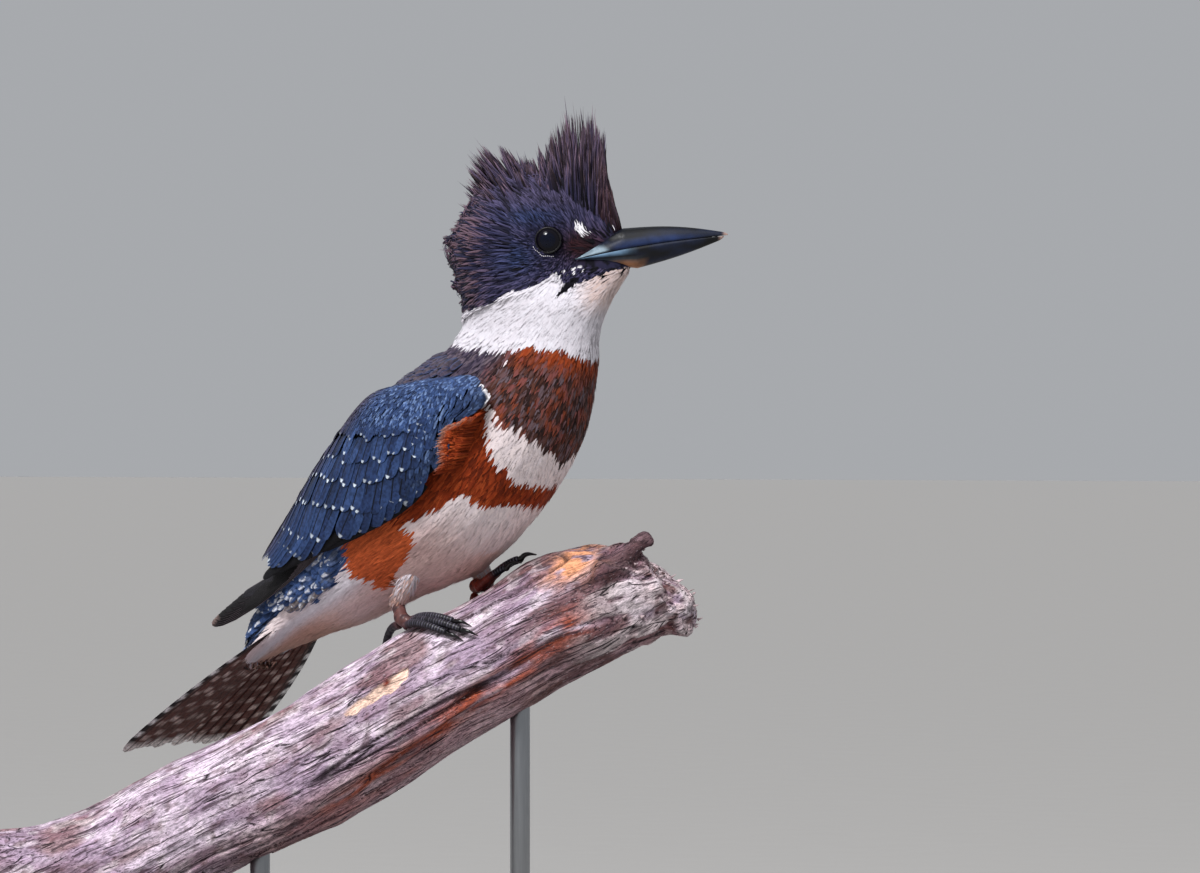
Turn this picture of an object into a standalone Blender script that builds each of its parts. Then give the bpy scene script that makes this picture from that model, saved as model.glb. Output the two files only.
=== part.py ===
# Belted kingfisher, a young bird at rest on a cut length of dead branch, life size, on a plain stand.
# The bird faces +X with its middle plane along X, its left side towards +Y and up along +Z. Its head is
# turned to its left until the bill runs along the perch. The origin is under the middle of the stand's
# base. Lengths in the tables are millimetres and angles are degrees; meshes are made in metres.

import math

import bmesh
import bpy
from mathutils import Matrix, Vector, noise

MM = 0.001
GAP = 0.35                      # clearance between pieces that meet
HEAD_TURN = 34.0                # turn of the head and of the perch from the body's line
BIRD_PLACE = (-9.6, 14.3, 0.0)  # the body's own origin, from the middle of the base
NECK_FORWARD = 63.7             # where the head turns on the neck, ahead of the body's origin

# The trunk from the tail's root up to the throat:
# forward, height, pitch of the spine, half depth, half width, turn towards the left.
TRUNK_STATIONS = (
    (-54.5, 149.5, 40.0, 16.8, 19.0, 0.0),
    (-36.0, 163.0, 37.0, 23.0, 24.5, 0.0),
    (-13.0, 181.0, 38.0, 31.5, 30.0, 0.0),
    (11.5, 198.5, 43.0, 39.5, 33.0, 0.0),
    (31.5, 217.5, 52.0, 41.0, 33.0, 0.0),
    (47.5, 234.2, 63.0, 38.0, 30.5, 0.0),
    (57.5, 250.5, 75.0, 32.2, 26.0, 8.0),
    (61.5, 264.0, 84.0, 29.0, 23.0, 22.0),
    (63.7, 275.0, 90.0, 30.0, 21.5, 34.0),
)
TRUNK_RINGS = 28
TRUNK_SIDES = 20
TRUNK_SQUARENESS = 2.15
TRUNK_CUTS = {"rump": (0.0, 0.18), "belly": (0.18, 0.46), "breast": (0.46, 0.74), "neck": (0.74, 1.0)}

# The head from the throat to the crown, in level rings:
# height, middle ahead of the neck's axis, half length, half width, how far the face narrows (0 to 1).
HEAD_STATIONS = (
    (275.8, 0.0, 30.0, 21.5, 0.10),
    (282.0, 1.6, 32.6, 19.5, 0.60),
    (288.0, 2.4, 35.4, 18.0, 0.90),
    (294.0, 1.2, 34.8, 17.5, 1.00),
    (300.0, 0.6, 33.8, 17.5, 1.00),
    (306.0, 0.4, 32.0, 17.0, 0.95),
    (312.0, 1.2, 29.6, 15.0, 0.90),
    (318.0, 2.4, 26.4, 12.0, 0.80),
    (323.0, 3.6, 21.0, 8.0, 0.70),
    (325.5, 4.4, 12.0, 4.0, 0.60),
)
HEAD_RINGS = 15
HEAD_SIDES = 22

EYE_RADIUS = 5.3
EYE_PLACE = (3.8, 11.8, 299.6)   # ahead of the neck's axis, to the side, height

# The bill: the culmen's base, the gape, the tip, and the chin where the lower mandible's feathers start.
CULMEN_BASE = (34.0, 304.0)
GAPE = (15.6, 291.6)
BILL_TIP = (76.0, 301.4)
CHIN = (40.0, 288.4)
COMMISSURE_RISE = 1.2            # how far the mouth's line bows up at its middle
BILL_HALF_WIDTH = 10.4           # at the gape
BILL_RINGS = 12

# Tufts of the raised crest, as a fan from the forehead round to the back of the crown:
# root ahead of the neck's axis, root height, direction above the bill's line, length.
CREST_STATIONS = (
    (24.5, 312.5, 91.0, 33.0),
    (19.0, 317.0, 94.0, 37.0),
    (12.0, 319.5, 99.0, 29.0),
    (5.0, 320.5, 108.0, 18.0),
    (-2.0, 320.0, 118.0, 20.0),
    (-8.5, 317.0, 129.0, 27.0),
    (-14.5, 311.5, 143.0, 21.0),
    (-17.5, 308.0, 154.0, 18.0),
)
CREST_TUFTS = 13
NAPE_TUFTS = ((-26.0, 298.5, 176.0, 11.5), (-26.5, 291.0, 184.0, 10.5), (-25.0, 283.5, 200.0, 10.5))
TUFT_RADIUS = 5.8
TUFT_SIDES = 5
CREST_SIDE_STEP = 4.2

# The folded wing, laid on the trunk: edges round the body from the middle of the back, tail end first.
WING_SPAN = (0.05, 0.72)         # the stretch of trunk it covers
WING_TOP_EDGE = (6.0, 9.0, 16.0, 30.0, 54.0, 78.0)
WING_LOW_EDGE = (66.0, 86.0, 99.0, 107.0, 110.0, 100.0)
WING_STAND_OFF = (3.4, 1.9, 1.1, 1.0, 1.0, 1.0)
WING_THICKNESS = (2.4, 3.2, 3.8, 4.6, 5.6, 5.6)
WING_WRIST = 0.14                # share of the wing's length over which its front end rounds off
WING_RINGS = 13
WING_SIDES = 7

# The primaries beyond the wing's covering feathers: middle line, tail end last, with half height.
PRIMARY_STATIONS = (
    (-47.0, 19.5, 163.0, 7.6),
    (-60.0, 18.0, 158.6, 7.0),
    (-75.0, 15.8, 152.6, 4.8),
    (-87.0, 13.8, 147.6, 1.4),
)
PRIMARY_THICKNESS = 1.3
PRIMARY_LEAN = 38.0              # lean of the blade from upright

# The tail's plane starts at its root; its coverts lie above and below it as wedges.
TAIL_ROOT = (-60.2, 139.0)
TAIL_PITCH = 39.5
TAIL_START = -10.6               # where the rump ends, along the tail
TAIL_HALF_START = 17.0           # half width of the tail there
TAIL_LENGTH = 63.5
TAIL_HALF_ROOT = 26.5
TAIL_HALF_TIP = 41.0
TAIL_FEATHERS = 12
TAIL_THICKNESS = 1.2
TAIL_CAMBER = 0.8
UNDERTAIL = {"end": 36.0, "width": 18.6, "tip_width": 8.0, "depth": 10.8, "fall": 1.0}
UPPERTAIL = {"end": 34.0, "width": 18.6, "tip_width": 12.0, "depth": 19.6, "fall": 0.9}

# The perch, along its own length: along, height, radius.
PERCH_PITCH = 26.0
PERCH_STATIONS = (
    (-160.3, 40.5, 26.0),
    (-124.0, 47.0, 25.0),
    (-82.0, 68.4, 25.0),
    (-42.0, 88.0, 25.4),
    (0.0, 113.0, 26.0),
    (38.0, 135.0, 25.0),
    (66.0, 151.0, 25.6),
    (90.0, 158.4, 21.0),
    (104.0, 158.0, 16.5),
    (112.0, 156.0, 9.0),
)
PERCH_RINGS = 31
PERCH_SIDES = 18
RAGGED_FROM = 0.8787             # share of the perch's length where its broken end begins
TWIG = {"root": (72.0, -12.0, 160.0), "tip": (97.5, -13.0, 181.5), "radii": (6.0, 2.6)}

# A foot: where it stands along the perch and round it from the top, towards the bird's right,
# and where its middle toe ends.
FEET = {
    "right": {"ankle": (12.5, 8.0), "tip": (29.5, 55.0), "hind": (1.5, -36.0), "fan": 2.9,
              "heel": (-3.2, 1.8, 154.6), "knee": (3.0, -2.6, 172.0)},
    "left": {"ankle": (40.5, -19.0), "tip": (58.0, 4.0), "hind": (33.0, -66.0), "fan": 2.9,
             "heel": (32.0, 12.0, 161.8), "knee": (25.0, 14.0, 178.0)},
}
TOE_RADIUS = 1.3
TARSUS_RADIUS = 2.3
SHIN_RADII = (8.0, 3.4)
CLAW_LENGTH = 7.0
CLAW_RADIUS = 0.9
CLAW_RISE = 1.6                  # how far a claw arches off the straight line to its point
CLAW_RUN = 0.22                  # how far past the toe its point reaches, as a share of the toe
TOE_ARCH = 0.8
TOE_CLEARANCE = 0.5              # room for the wood's facets under a toe, past the gap
SIDE_TOE = 0.82                  # length of a side toe against the middle one

BASE_SIZE = (216.0, 104.0, 10.0)
BASE_CORNER = 22.0
ROD_RADIUS = 4.0
ROD_DEPTH = 14.0                 # how far a rod goes into the perch
ROD_FOOT = 5.0                   # how far it goes into the base
RODS = {"stand_rod_rear": -58.0, "stand_rod_front": 46.0}


def clear_scene():
    for thing in list(bpy.data.objects):
        bpy.data.objects.remove(thing, do_unlink=True)


def collection(name):
    made = bpy.data.collections.new(name)
    bpy.context.scene.collection.children.link(made)
    return made


def material(name, colour, roughness, metallic=0.0):
    made = bpy.data.materials.new(name)
    made.use_nodes = True
    shader = made.node_tree.nodes["Principled BSDF"]
    shader.inputs["Base Color"].default_value = (*colour, 1.0)
    shader.inputs["Roughness"].default_value = roughness
    shader.inputs["Metallic"].default_value = metallic
    made.diffuse_color = (*colour, 1.0)
    return made


def frame(name, place, turn):
    """An empty that holds the pieces made in one frame."""
    empty = bpy.data.objects.new(name, None)
    empty.location = [value * MM for value in place]
    empty.rotation_euler = (0.0, 0.0, math.radians(turn))
    parts.objects.link(empty)
    return empty


def spline(rows, t):
    """Values of a smooth curve through equally spaced rows, for t from 0 to 1."""
    place = min(max(t, 0.0), 1.0) * (len(rows) - 1)
    index = min(int(place), len(rows) - 2)
    along = place - index
    before = rows[max(index - 1, 0)]
    after = rows[min(index + 2, len(rows) - 1)]
    values = []
    for a, b, c, d in zip(before, rows[index], rows[index + 1], after):
        slope_b = (c - a) / 2
        slope_c = (d - b) / 2
        values.append(
            b + along * slope_b + along ** 2 * (3 * (c - b) - 2 * slope_b - slope_c)
            + along ** 3 * (2 * (b - c) + slope_b + slope_c)
        )
    return values


def numbers(values, t):
    return spline([(value,) for value in values], t)[0]


def steps(count, start=0.0, end=1.0):
    return [start + (end - start) * index / count for index in range(count + 1)]


def place_mesh(name, mesh, holder, look, group=None):
    made = bpy.data.objects.new(name, mesh)
    made.parent = holder
    mesh.materials.append(look)
    mesh.shade_smooth()
    (group or parts).objects.link(made)
    return made


def loft(name, rings, holder, look, group=None):
    """A closed solid through rings of points in millimetres, with flat ends."""
    shape = bmesh.new()
    loops = [[shape.verts.new([value * MM for value in point]) for point in ring] for ring in rings]
    sides = len(loops[0])
    for low, high in zip(loops, loops[1:]):
        for index in range(sides):
            follow = (index + 1) % sides
            shape.faces.new((low[index], low[follow], high[follow], high[index]))
    shape.faces.new(reversed(loops[0]))
    shape.faces.new(loops[-1])
    bmesh.ops.triangulate(shape, faces=shape.faces, quad_method="FIXED")
    bmesh.ops.recalc_face_normals(shape, faces=shape.faces)
    mesh = bpy.data.meshes.new(name)
    shape.to_mesh(mesh)
    shape.free()
    made = place_mesh(name, mesh, holder, look, group)
    mesh.set_sharp_from_angle(angle=math.radians(50.0))
    return made


def curve_tube(name, points, radii, holder, look, rounding=1):
    """A tapering rod along points in millimetres."""
    curve = bpy.data.curves.new(name, "CURVE")
    curve.dimensions = "3D"
    curve.bevel_depth = MM
    curve.bevel_resolution = rounding
    curve.use_fill_caps = True
    line = curve.splines.new("POLY")
    line.points.add(len(points) - 1)
    for spot, point, radius in zip(line.points, points, radii):
        spot.co = (*[value * MM for value in point], 1.0)
        spot.radius = radius
    curve.materials.append(look)
    made = bpy.data.objects.new(name, curve)
    made.parent = holder
    parts.objects.link(made)
    return made


def cut(target, cutter, operation="DIFFERENCE"):
    modifier = target.modifiers.new(cutter.name, "BOOLEAN")
    modifier.operation = operation
    modifier.object = cutter
    cutter.hide_render = True
    cutter.display_type = "WIRE"


def side_ellipse(angle, half_depth, half_width, squareness):
    """Depth and width of a point round a superellipse, the angle counted from its top."""
    down = math.cos(angle)
    out = math.sin(angle)
    power = 2.0 / squareness
    return (
        half_depth * math.copysign(abs(down) ** power, down),
        half_width * math.copysign(abs(out) ** power, out),
    )


def trunk_point(t, angle, lift=0.0):
    """A point on the trunk, the angle counted from the back towards the left side."""
    forward, height, pitch, half_depth, half_width, turn = spline(TRUNK_STATIONS, t)
    tilt = math.radians(pitch)
    yaw = math.radians(turn)
    up, out = side_ellipse(angle, half_depth + lift, half_width + lift, TRUNK_SQUARENESS)
    back = up * math.sin(tilt)
    return (forward - back * math.cos(yaw) - out * math.sin(yaw),
            out * math.cos(yaw) - back * math.sin(yaw),
            height + up * math.cos(tilt))


def trunk_rings(start, end, count, lift=0.0):
    return [
        [trunk_point(t, 2 * math.pi * index / TRUNK_SIDES, lift) for index in range(TRUNK_SIDES)]
        for t in steps(count, start, end)
    ]


def make_trunk():
    spine_length = sum(
        math.dist(a[:2], b[:2]) for a, b in zip(TRUNK_STATIONS, TRUNK_STATIONS[1:])
    )
    half_cut = 0.9 * GAP / spine_length
    for name, (start, end) in TRUNK_CUTS.items():
        count = max(3, round(TRUNK_RINGS * (end - start)))
        low = start + half_cut if start > 0 else start
        high = end - half_cut if end < 1 else end
        loft(name, trunk_rings(low, high, count), bird, looks[name])
    return loft("trunk_space", trunk_rings(0.0, 1.0, TRUNK_RINGS, GAP), bird, looks["belly"], cutters)


def head_ring(t, lift=0.0):
    height, middle, half_length, half_width, narrowing = spline(HEAD_STATIONS, t)
    ring = []
    for index in range(HEAD_SIDES):
        angle = 2 * math.pi * index / HEAD_SIDES
        ahead = math.cos(angle)
        taper = 0.85 - 0.25 * math.tanh(3 * (ahead - 0.15))
        width = (half_width + lift) * math.sin(angle) * (1 - narrowing * (1 - taper))
        ring.append((middle + (half_length + lift) * ahead, width, height))
    return ring


def head_rings(lift=0.0):
    rings = [head_ring(t, lift) for t in steps(HEAD_RINGS)]
    if lift:
        rings[-1] = [(x, y, z + lift) for x, y, z in rings[-1]]
    return rings


def mandible_rings(upper, lift=0.0):
    """Rings of half the bill from the gape to the tip: a ridge above or below, and a flat mouth side."""
    rings = []
    end = BILL_TIP[0] if upper else BILL_TIP[0] - 1.6
    edge = CULMEN_BASE if upper else CHIN
    for t in steps(BILL_RINGS):
        along = GAPE[0] + (end - GAPE[0]) * t ** 0.9
        share = (along - GAPE[0]) / (BILL_TIP[0] - GAPE[0])
        mouth = GAPE[1] + (BILL_TIP[1] - GAPE[1]) * share + COMMISSURE_RISE * math.sin(math.pi * share)
        if along < edge[0]:
            rise = (along - GAPE[0]) / (edge[0] - GAPE[0])
            ridge = GAPE[1] + (edge[1] - GAPE[1]) * max(rise, 0.06) ** 0.8
        else:
            run = (along - edge[0]) / (BILL_TIP[0] - edge[0])
            bow = (1.6 if upper else -0.9) * math.sin(math.pi * min(run, 1.0))
            tip = BILL_TIP[1] + (0.9 if upper else -0.5)
            ridge = edge[1] + (tip - edge[1]) * run + bow
        side = 1 if upper else -1
        width = BILL_HALF_WIDTH * (1 - share) ** 0.85 * (1 - 0.22 * share) + 0.45 + lift
        depth = max(side * (ridge - mouth), 0.7) + 2 * lift
        floor = mouth + side * (GAP / 2 - lift)
        rings.append([
            (along, width, floor),
            (along, width * 0.96, floor + side * depth * 0.34),
            (along, width * 0.72, floor + side * depth * 0.74),
            (along, width * 0.30, floor + side * depth * 0.97),
            (along, 0.0, floor + side * depth),
            (along, -width * 0.30, floor + side * depth * 0.97),
            (along, -width * 0.72, floor + side * depth * 0.74),
            (along, -width * 0.96, floor + side * depth * 0.34),
            (along, -width, floor),
        ])
    if lift:
        rings.insert(0, [(x - lift, y, z) for x, y, z in rings[0]])
    return rings


def crest_tufts(rows, group, sides, name):
    """Pointed tufts on the crown, one row along its middle and one on each side."""
    tufts = []
    for index, (ahead, height, angle, length) in enumerate(rows):
        for side in sides:
            reach = length * (0.96 + 0.06 * math.cos(math.pi * index) - 0.20 * abs(side))
            direction = Vector((math.cos(math.radians(angle)), side * 0.16, math.sin(math.radians(angle))))
            bottom = Vector((ahead, side * CREST_SIDE_STEP, height))
            tufts.append(tuft(f"{name}_{index}_{side + 1}", bottom, direction.normalized(), reach, group))
    return tufts


def join_all(target, group, name):
    joined = target.modifiers.new(name, "BOOLEAN")
    joined.operation = "UNION"
    joined.operand_type = "COLLECTION"
    joined.collection = group
    for other in group.objects:
        other.hide_render = True
        other.display_type = "WIRE"


def make_crest(skull, head_space):
    """The crest as one solid cut to sit on the head, and the short tufts of the nape joined to the head."""
    crest_group = bpy.data.collections.new("crest_tufts")
    nape_group = bpy.data.collections.new("nape_tufts")
    cutters.children.link(crest_group)
    cutters.children.link(nape_group)
    rows = [spline(CREST_STATIONS, share) for share in steps(CREST_TUFTS - 1)]
    crest = crest_tufts(rows, crest_group, (-1, 0, 1), "tuft")[0]
    crest_group.objects.unlink(crest)
    parts.objects.link(crest)
    crest.name = "crest"
    crest.data.materials.append(looks["crest"])
    join_all(crest, crest_group, "tufts")
    cut(crest, head_space)
    crest_tufts(NAPE_TUFTS, nape_group, (0,), "nape")
    join_all(skull, nape_group, "nape")


def tuft(name, bottom, direction, length, group):
    """One pointed tuft, widest a third of the way up."""
    across = Vector((0.0, 1.0, 0.0))
    along = across.cross(direction).normalized()
    out = direction.cross(along)
    shape = bmesh.new()
    loops = []
    for share, width in ((0.0, 0.7), (0.4, 1.0)):
        radius = TUFT_RADIUS * width
        loops.append([
            shape.verts.new((bottom + direction * length * share
                             + along * radius * math.cos(turn) + out * radius * math.sin(turn)) * MM)
            for turn in [2 * math.pi * step / TUFT_SIDES + 0.2 for step in range(TUFT_SIDES)]
        ])
    point = shape.verts.new((bottom + direction * length) * MM)
    for low, high in zip(loops, loops[1:]):
        for index in range(TUFT_SIDES):
            follow = (index + 1) % TUFT_SIDES
            shape.faces.new((low[index], low[follow], high[follow], high[index]))
    for index in range(TUFT_SIDES):
        shape.faces.new((loops[-1][index], loops[-1][(index + 1) % TUFT_SIDES], point))
    shape.faces.new(reversed(loops[0]))
    bmesh.ops.recalc_face_normals(shape, faces=shape.faces)
    mesh = bpy.data.meshes.new(name)
    shape.to_mesh(mesh)
    shape.free()
    made = bpy.data.objects.new(name, mesh)
    made.parent = head
    group.objects.link(made)
    return made


def make_head():
    skull = loft("head", head_rings(), head, looks["head"])
    head_space = loft("head_space", head_rings(GAP), head, looks["head"], cutters)
    for name, upper in (("bill_upper", True), ("bill_lower", False)):
        loft(name, mandible_rings(upper), head, looks["bill"])
        cut(skull, loft(name + "_space", mandible_rings(upper, 2 * GAP), head, looks["bill"], cutters))
    for name, side in (("eye_right", -1), ("eye_left", 1)):
        ball(name, side, EYE_RADIUS, parts)
        cut(skull, ball(name + "_space", side, EYE_RADIUS + GAP, cutters))
    make_crest(skull, head_space)


def ball(name, side, radius, group):
    bpy.ops.mesh.primitive_uv_sphere_add(segments=12, ring_count=8, radius=radius * MM)
    made = bpy.context.object
    made.name = name
    made.parent = head
    made.location = (EYE_PLACE[0] * MM, side * EYE_PLACE[1] * MM, EYE_PLACE[2] * MM)
    made.rotation_euler = (math.pi / 2, 0.0, 0.0)
    made.data.materials.append(looks["eye"])
    made.data.shade_smooth()
    for owner in list(made.users_collection):
        owner.objects.unlink(made)
    group.objects.link(made)
    return made


def shell(name, rows, holder, look):
    """A closed blade between an inner and an outer grid of points, given as rows of (inner, outer)."""
    rings = [[pair[1] for pair in row] + [pair[0] for pair in reversed(row)] for row in rows]
    return loft(name, rings, holder, look)


def wing_rows(side):
    rows = []
    for share in steps(WING_RINGS):
        t = WING_SPAN[0] + (WING_SPAN[1] - WING_SPAN[0]) * share
        top = math.radians(numbers(WING_TOP_EDGE, share))
        low = math.radians(numbers(WING_LOW_EDGE, share))
        stand_off = numbers(WING_STAND_OFF, share)
        wrist = math.sin(math.pi / 2 * min(1.0, (1 - share) / WING_WRIST + 0.12))
        thickness = numbers(WING_THICKNESS, share) * wrist
        middle = (top + low) / 2
        reach = (low - top) / 2 * (0.55 + 0.45 * wrist)
        row = []
        for across in steps(WING_SIDES, -1.0, 1.0):
            angle = side * (middle + reach * across)
            body = 0.16 + 0.84 * math.sqrt(max(1 - across ** 4, 0.0))
            row.append((trunk_point(t, angle, stand_off + GAP),
                        trunk_point(t, angle, stand_off + GAP + 0.4 + thickness * body)))
        rows.append(row if side > 0 else row[::-1])
    return rows


def primary_rings(side):
    rings = []
    lean = math.radians(PRIMARY_LEAN)
    for t in steps(6):
        forward, out, height, half = spline(PRIMARY_STATIONS, t)
        ring = []
        for index in range(10):
            angle = 2 * math.pi * index / 10
            along = half * math.cos(angle)
            thick = PRIMARY_THICKNESS * (1 - 0.45 * t) * math.sin(angle)
            ring.append((forward + 0.5 * along,
                         side * (out - along * math.sin(lean) + thick * math.cos(lean)),
                         height + along * math.cos(lean) + thick * math.sin(lean)))
        rings.append(ring)
    return rings


def make_wings(trunk_space):
    for name, side in (("right", -1), ("left", 1)):
        shell(f"wing_{name}", wing_rows(side), bird, looks["wing"])
        cut(loft(f"primaries_{name}", primary_rings(side), bird, looks["primaries"]), trunk_space)


def tail_point(along, across, above):
    """A point by the tail's own plane: along its length, to the left, and above it."""
    pitch = math.radians(TAIL_PITCH)
    lift = above - TAIL_CAMBER * (across / TAIL_HALF_TIP) ** 2
    return (TAIL_ROOT[0] - along * math.cos(pitch) - lift * math.sin(pitch),
            across,
            TAIL_ROOT[1] - along * math.sin(pitch) + lift * math.cos(pitch))


def tail_half_width(along):
    if along < 0:
        return TAIL_HALF_ROOT - (TAIL_HALF_ROOT - TAIL_HALF_START) * along / TAIL_START
    return TAIL_HALF_ROOT + (TAIL_HALF_TIP - TAIL_HALF_ROOT) * along / TAIL_LENGTH


def tail_rows():
    columns = TAIL_FEATHERS * 3
    rows = []
    for share in steps(columns, -1.0, 1.0):
        lobe = abs(math.sin(math.pi * TAIL_FEATHERS * (share + 1) / 2))
        length = TAIL_LENGTH * (1 + 0.02 * share ** 2) - 2.6 * (1 - lobe ** 0.5)
        row = []
        for along in (TAIL_START, 0.0, length / 2, length):
            across = tail_half_width(along) * share
            row.append((tail_point(along, across, -TAIL_THICKNESS / 2),
                        tail_point(along, across, TAIL_THICKNESS / 2)))
        rows.append(row)
    return rows


def covert_rings(wedge, side):
    """A wedge of covert feathers lying against the tail, above it or below it."""
    rings = []
    for t in steps(7):
        along = TAIL_START + (wedge["end"] - TAIL_START) * t
        half = wedge["width"] + (wedge["tip_width"] - wedge["width"]) * t ** 1.5
        depth = wedge["depth"] * (1 - t) ** wedge["fall"] + 0.8
        ring = []
        for index in range(9):
            turn = math.pi * index / 8
            ring.append(tail_point(along, half * math.cos(turn),
                                   side * (TAIL_THICKNESS / 2 + GAP + depth * math.sin(turn))))
        rings.append(ring)
    return rings


def make_tail():
    shell("tail", tail_rows(), bird, looks["tail"])
    loft("undertail_coverts", covert_rings(UNDERTAIL, -1), bird, looks["belly"])
    loft("uppertail_coverts", covert_rings(UPPERTAIL, 1), bird, looks["wing"])


def perch_point(along, turn, lift=0.0):
    """A point on the perch, the turn counted from its top towards -Y of its own frame."""
    share = (along - PERCH_STATIONS[0][0]) / (PERCH_STATIONS[-1][0] - PERCH_STATIONS[0][0])
    rows = PERCH_STATIONS
    index = max(i for i in range(len(rows) - 1) if i == 0 or rows[i][0] <= along)
    local = (along - rows[index][0]) / (rows[index + 1][0] - rows[index][0])
    _, height, radius = spline(rows, (index + local) / (len(rows) - 1))
    bumps = noise.noise(Vector((along / 34.0, 1.3 * math.cos(turn), 1.3 * math.sin(turn))))
    ripple = noise.noise(Vector((along / 11.0, 2.6 * math.cos(turn) + 9.0, 2.6 * math.sin(turn))))
    ragged = max(share - RAGGED_FROM, 0.0) / (1 - RAGGED_FROM)
    radius *= 1 + 0.05 * bumps + (0.025 + 0.30 * ragged) * ripple
    tilt = math.radians(PERCH_PITCH)
    up = (radius + lift) * math.cos(turn)
    return (along - up * math.sin(tilt), -(radius + lift) * math.sin(turn), height + up * math.cos(tilt))


def make_perch():
    rings = []
    for t in steps(PERCH_RINGS):
        along = PERCH_STATIONS[0][0] + (PERCH_STATIONS[-1][0] - PERCH_STATIONS[0][0]) * t
        rings.append([perch_point(along, 2 * math.pi * i / PERCH_SIDES) for i in range(PERCH_SIDES)])
    branch = loft("perch_branch", rings, perch, looks["wood"])
    root = Vector(TWIG["root"])
    tip = Vector(TWIG["tip"])
    line = (tip - root).normalized()
    across = line.cross(Vector((0.0, 1.0, 0.0))).normalized()
    out = line.cross(across)
    twig_rings = []
    for t in steps(4, -0.3, 1.0):
        radius = TWIG["radii"][0] + (TWIG["radii"][1] - TWIG["radii"][0]) * t
        middle = root + (tip - root) * t
        twig_rings.append([
            tuple(middle + (across * math.cos(turn) + out * math.sin(turn)) * radius)
            for turn in [2 * math.pi * i / 9 for i in range(9)]
        ])
    cut(branch, loft("twig", twig_rings, perch, looks["wood"], cutters), "UNION")
    return branch


def toe(name, start, end, base_radius, tip_radius):
    """A toe along the perch's surface, with its claw, between places given as (along, turn)."""
    path = []
    radii = []
    for t in steps(6):
        along = start[0] + (end[0] - start[0]) * t
        turn = math.radians(start[1] + (end[1] - start[1]) * t)
        radius = base_radius + (tip_radius - base_radius) * t
        arch = TOE_ARCH * math.sin(math.pi * t)
        path.append(perch_point(along, turn, radius * 1.08 + GAP + TOE_CLEARANCE + arch))
        radii.append(radius)
    curve_tube(name, path, radii, perch, looks["toes"])
    tip = Vector(path[-1])
    line = (tip - Vector(path[-2])).normalized()
    far_along = end[0] + (end[0] - start[0]) * CLAW_RUN
    far_turn = math.radians(end[1] + (end[1] - start[1]) * CLAW_RUN)
    down = Vector(perch_point(far_along, far_turn, CLAW_RADIUS + GAP))
    reach = (down - tip).normalized() * CLAW_LENGTH
    rise = (tip - Vector(perch_point(end[0], math.radians(end[1])))).normalized() * CLAW_RISE
    claw = []
    claw_radii = []
    for t in steps(4):
        straight = tip + line * (2 * GAP) + reach * t
        claw.append(tuple(straight + rise * math.sin(math.pi * t) * (1 - 0.4 * t)))
        claw_radii.append(CLAW_RADIUS * (1 - 0.75 * t))
    curve_tube(name.replace("toe", "claw"), claw, claw_radii, perch, looks["claw"], 0)


def make_legs(trunk_space):
    for side, foot in FEET.items():
        ankle = Vector(perch_point(foot["ankle"][0], math.radians(foot["ankle"][1]), TARSUS_RADIUS + 2.4))
        heel = Vector(foot["heel"])
        knee = Vector(foot["knee"])
        curve_tube(f"tarsus_{side}", [tuple(heel + (ankle - heel) * t) for t in (0.0, 0.5, 1.0)],
                   (TARSUS_RADIUS * 1.1, TARSUS_RADIUS * 0.9, TARSUS_RADIUS * 1.15), perch, looks["tarsus"])
        rings = []
        line = (knee - heel).normalized()
        across = line.cross(Vector((0.0, 1.0, 0.0))).normalized()
        out = line.cross(across)
        for t in steps(5, 0.0, 1.25):
            radius = SHIN_RADII[1] + (SHIN_RADII[0] - SHIN_RADII[1]) * t
            middle = heel + (knee - heel) * t + line * (TARSUS_RADIUS + 1.7)
            rings.append([
                tuple(middle + (across * math.cos(turn) + out * math.sin(turn)) * radius)
                for turn in [2 * math.pi * i / 12 for i in range(12)]
            ])
        cut(loft(f"shin_{side}", rings, perch, looks["belly"]), trunk_space)
        make_toes(side, foot)


def make_toes(side, foot):
    start = foot["ankle"]
    end = foot["tip"]
    spread = math.degrees(foot["fan"] / PERCH_STATIONS[0][2])
    toward = 1 if end[0] > start[0] else -1
    for name, place in (("inner", -1), ("middle", 0), ("outer", 1)):
        shift = place * spread
        short = 1.0 if place == 0 else SIDE_TOE
        begin = (start[0] - 0.75 * toward * place * foot["fan"] + 2.2 * toward,
                 start[1] + 0.6 * shift + 7.0)
        finish = (start[0] + (end[0] - start[0]) * short - 1.15 * toward * place * foot["fan"],
                  start[1] + (end[1] - start[1]) * short + 1.0 * shift)
        toe(f"toe_{name}_{side}", begin, finish, TOE_RADIUS, TOE_RADIUS * 0.8)
    back = (start[0] - 2.6 * toward, start[1] - 9.0)
    toe(f"toe_hind_{side}", back, foot["hind"], TOE_RADIUS, TOE_RADIUS * 0.8)


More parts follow.
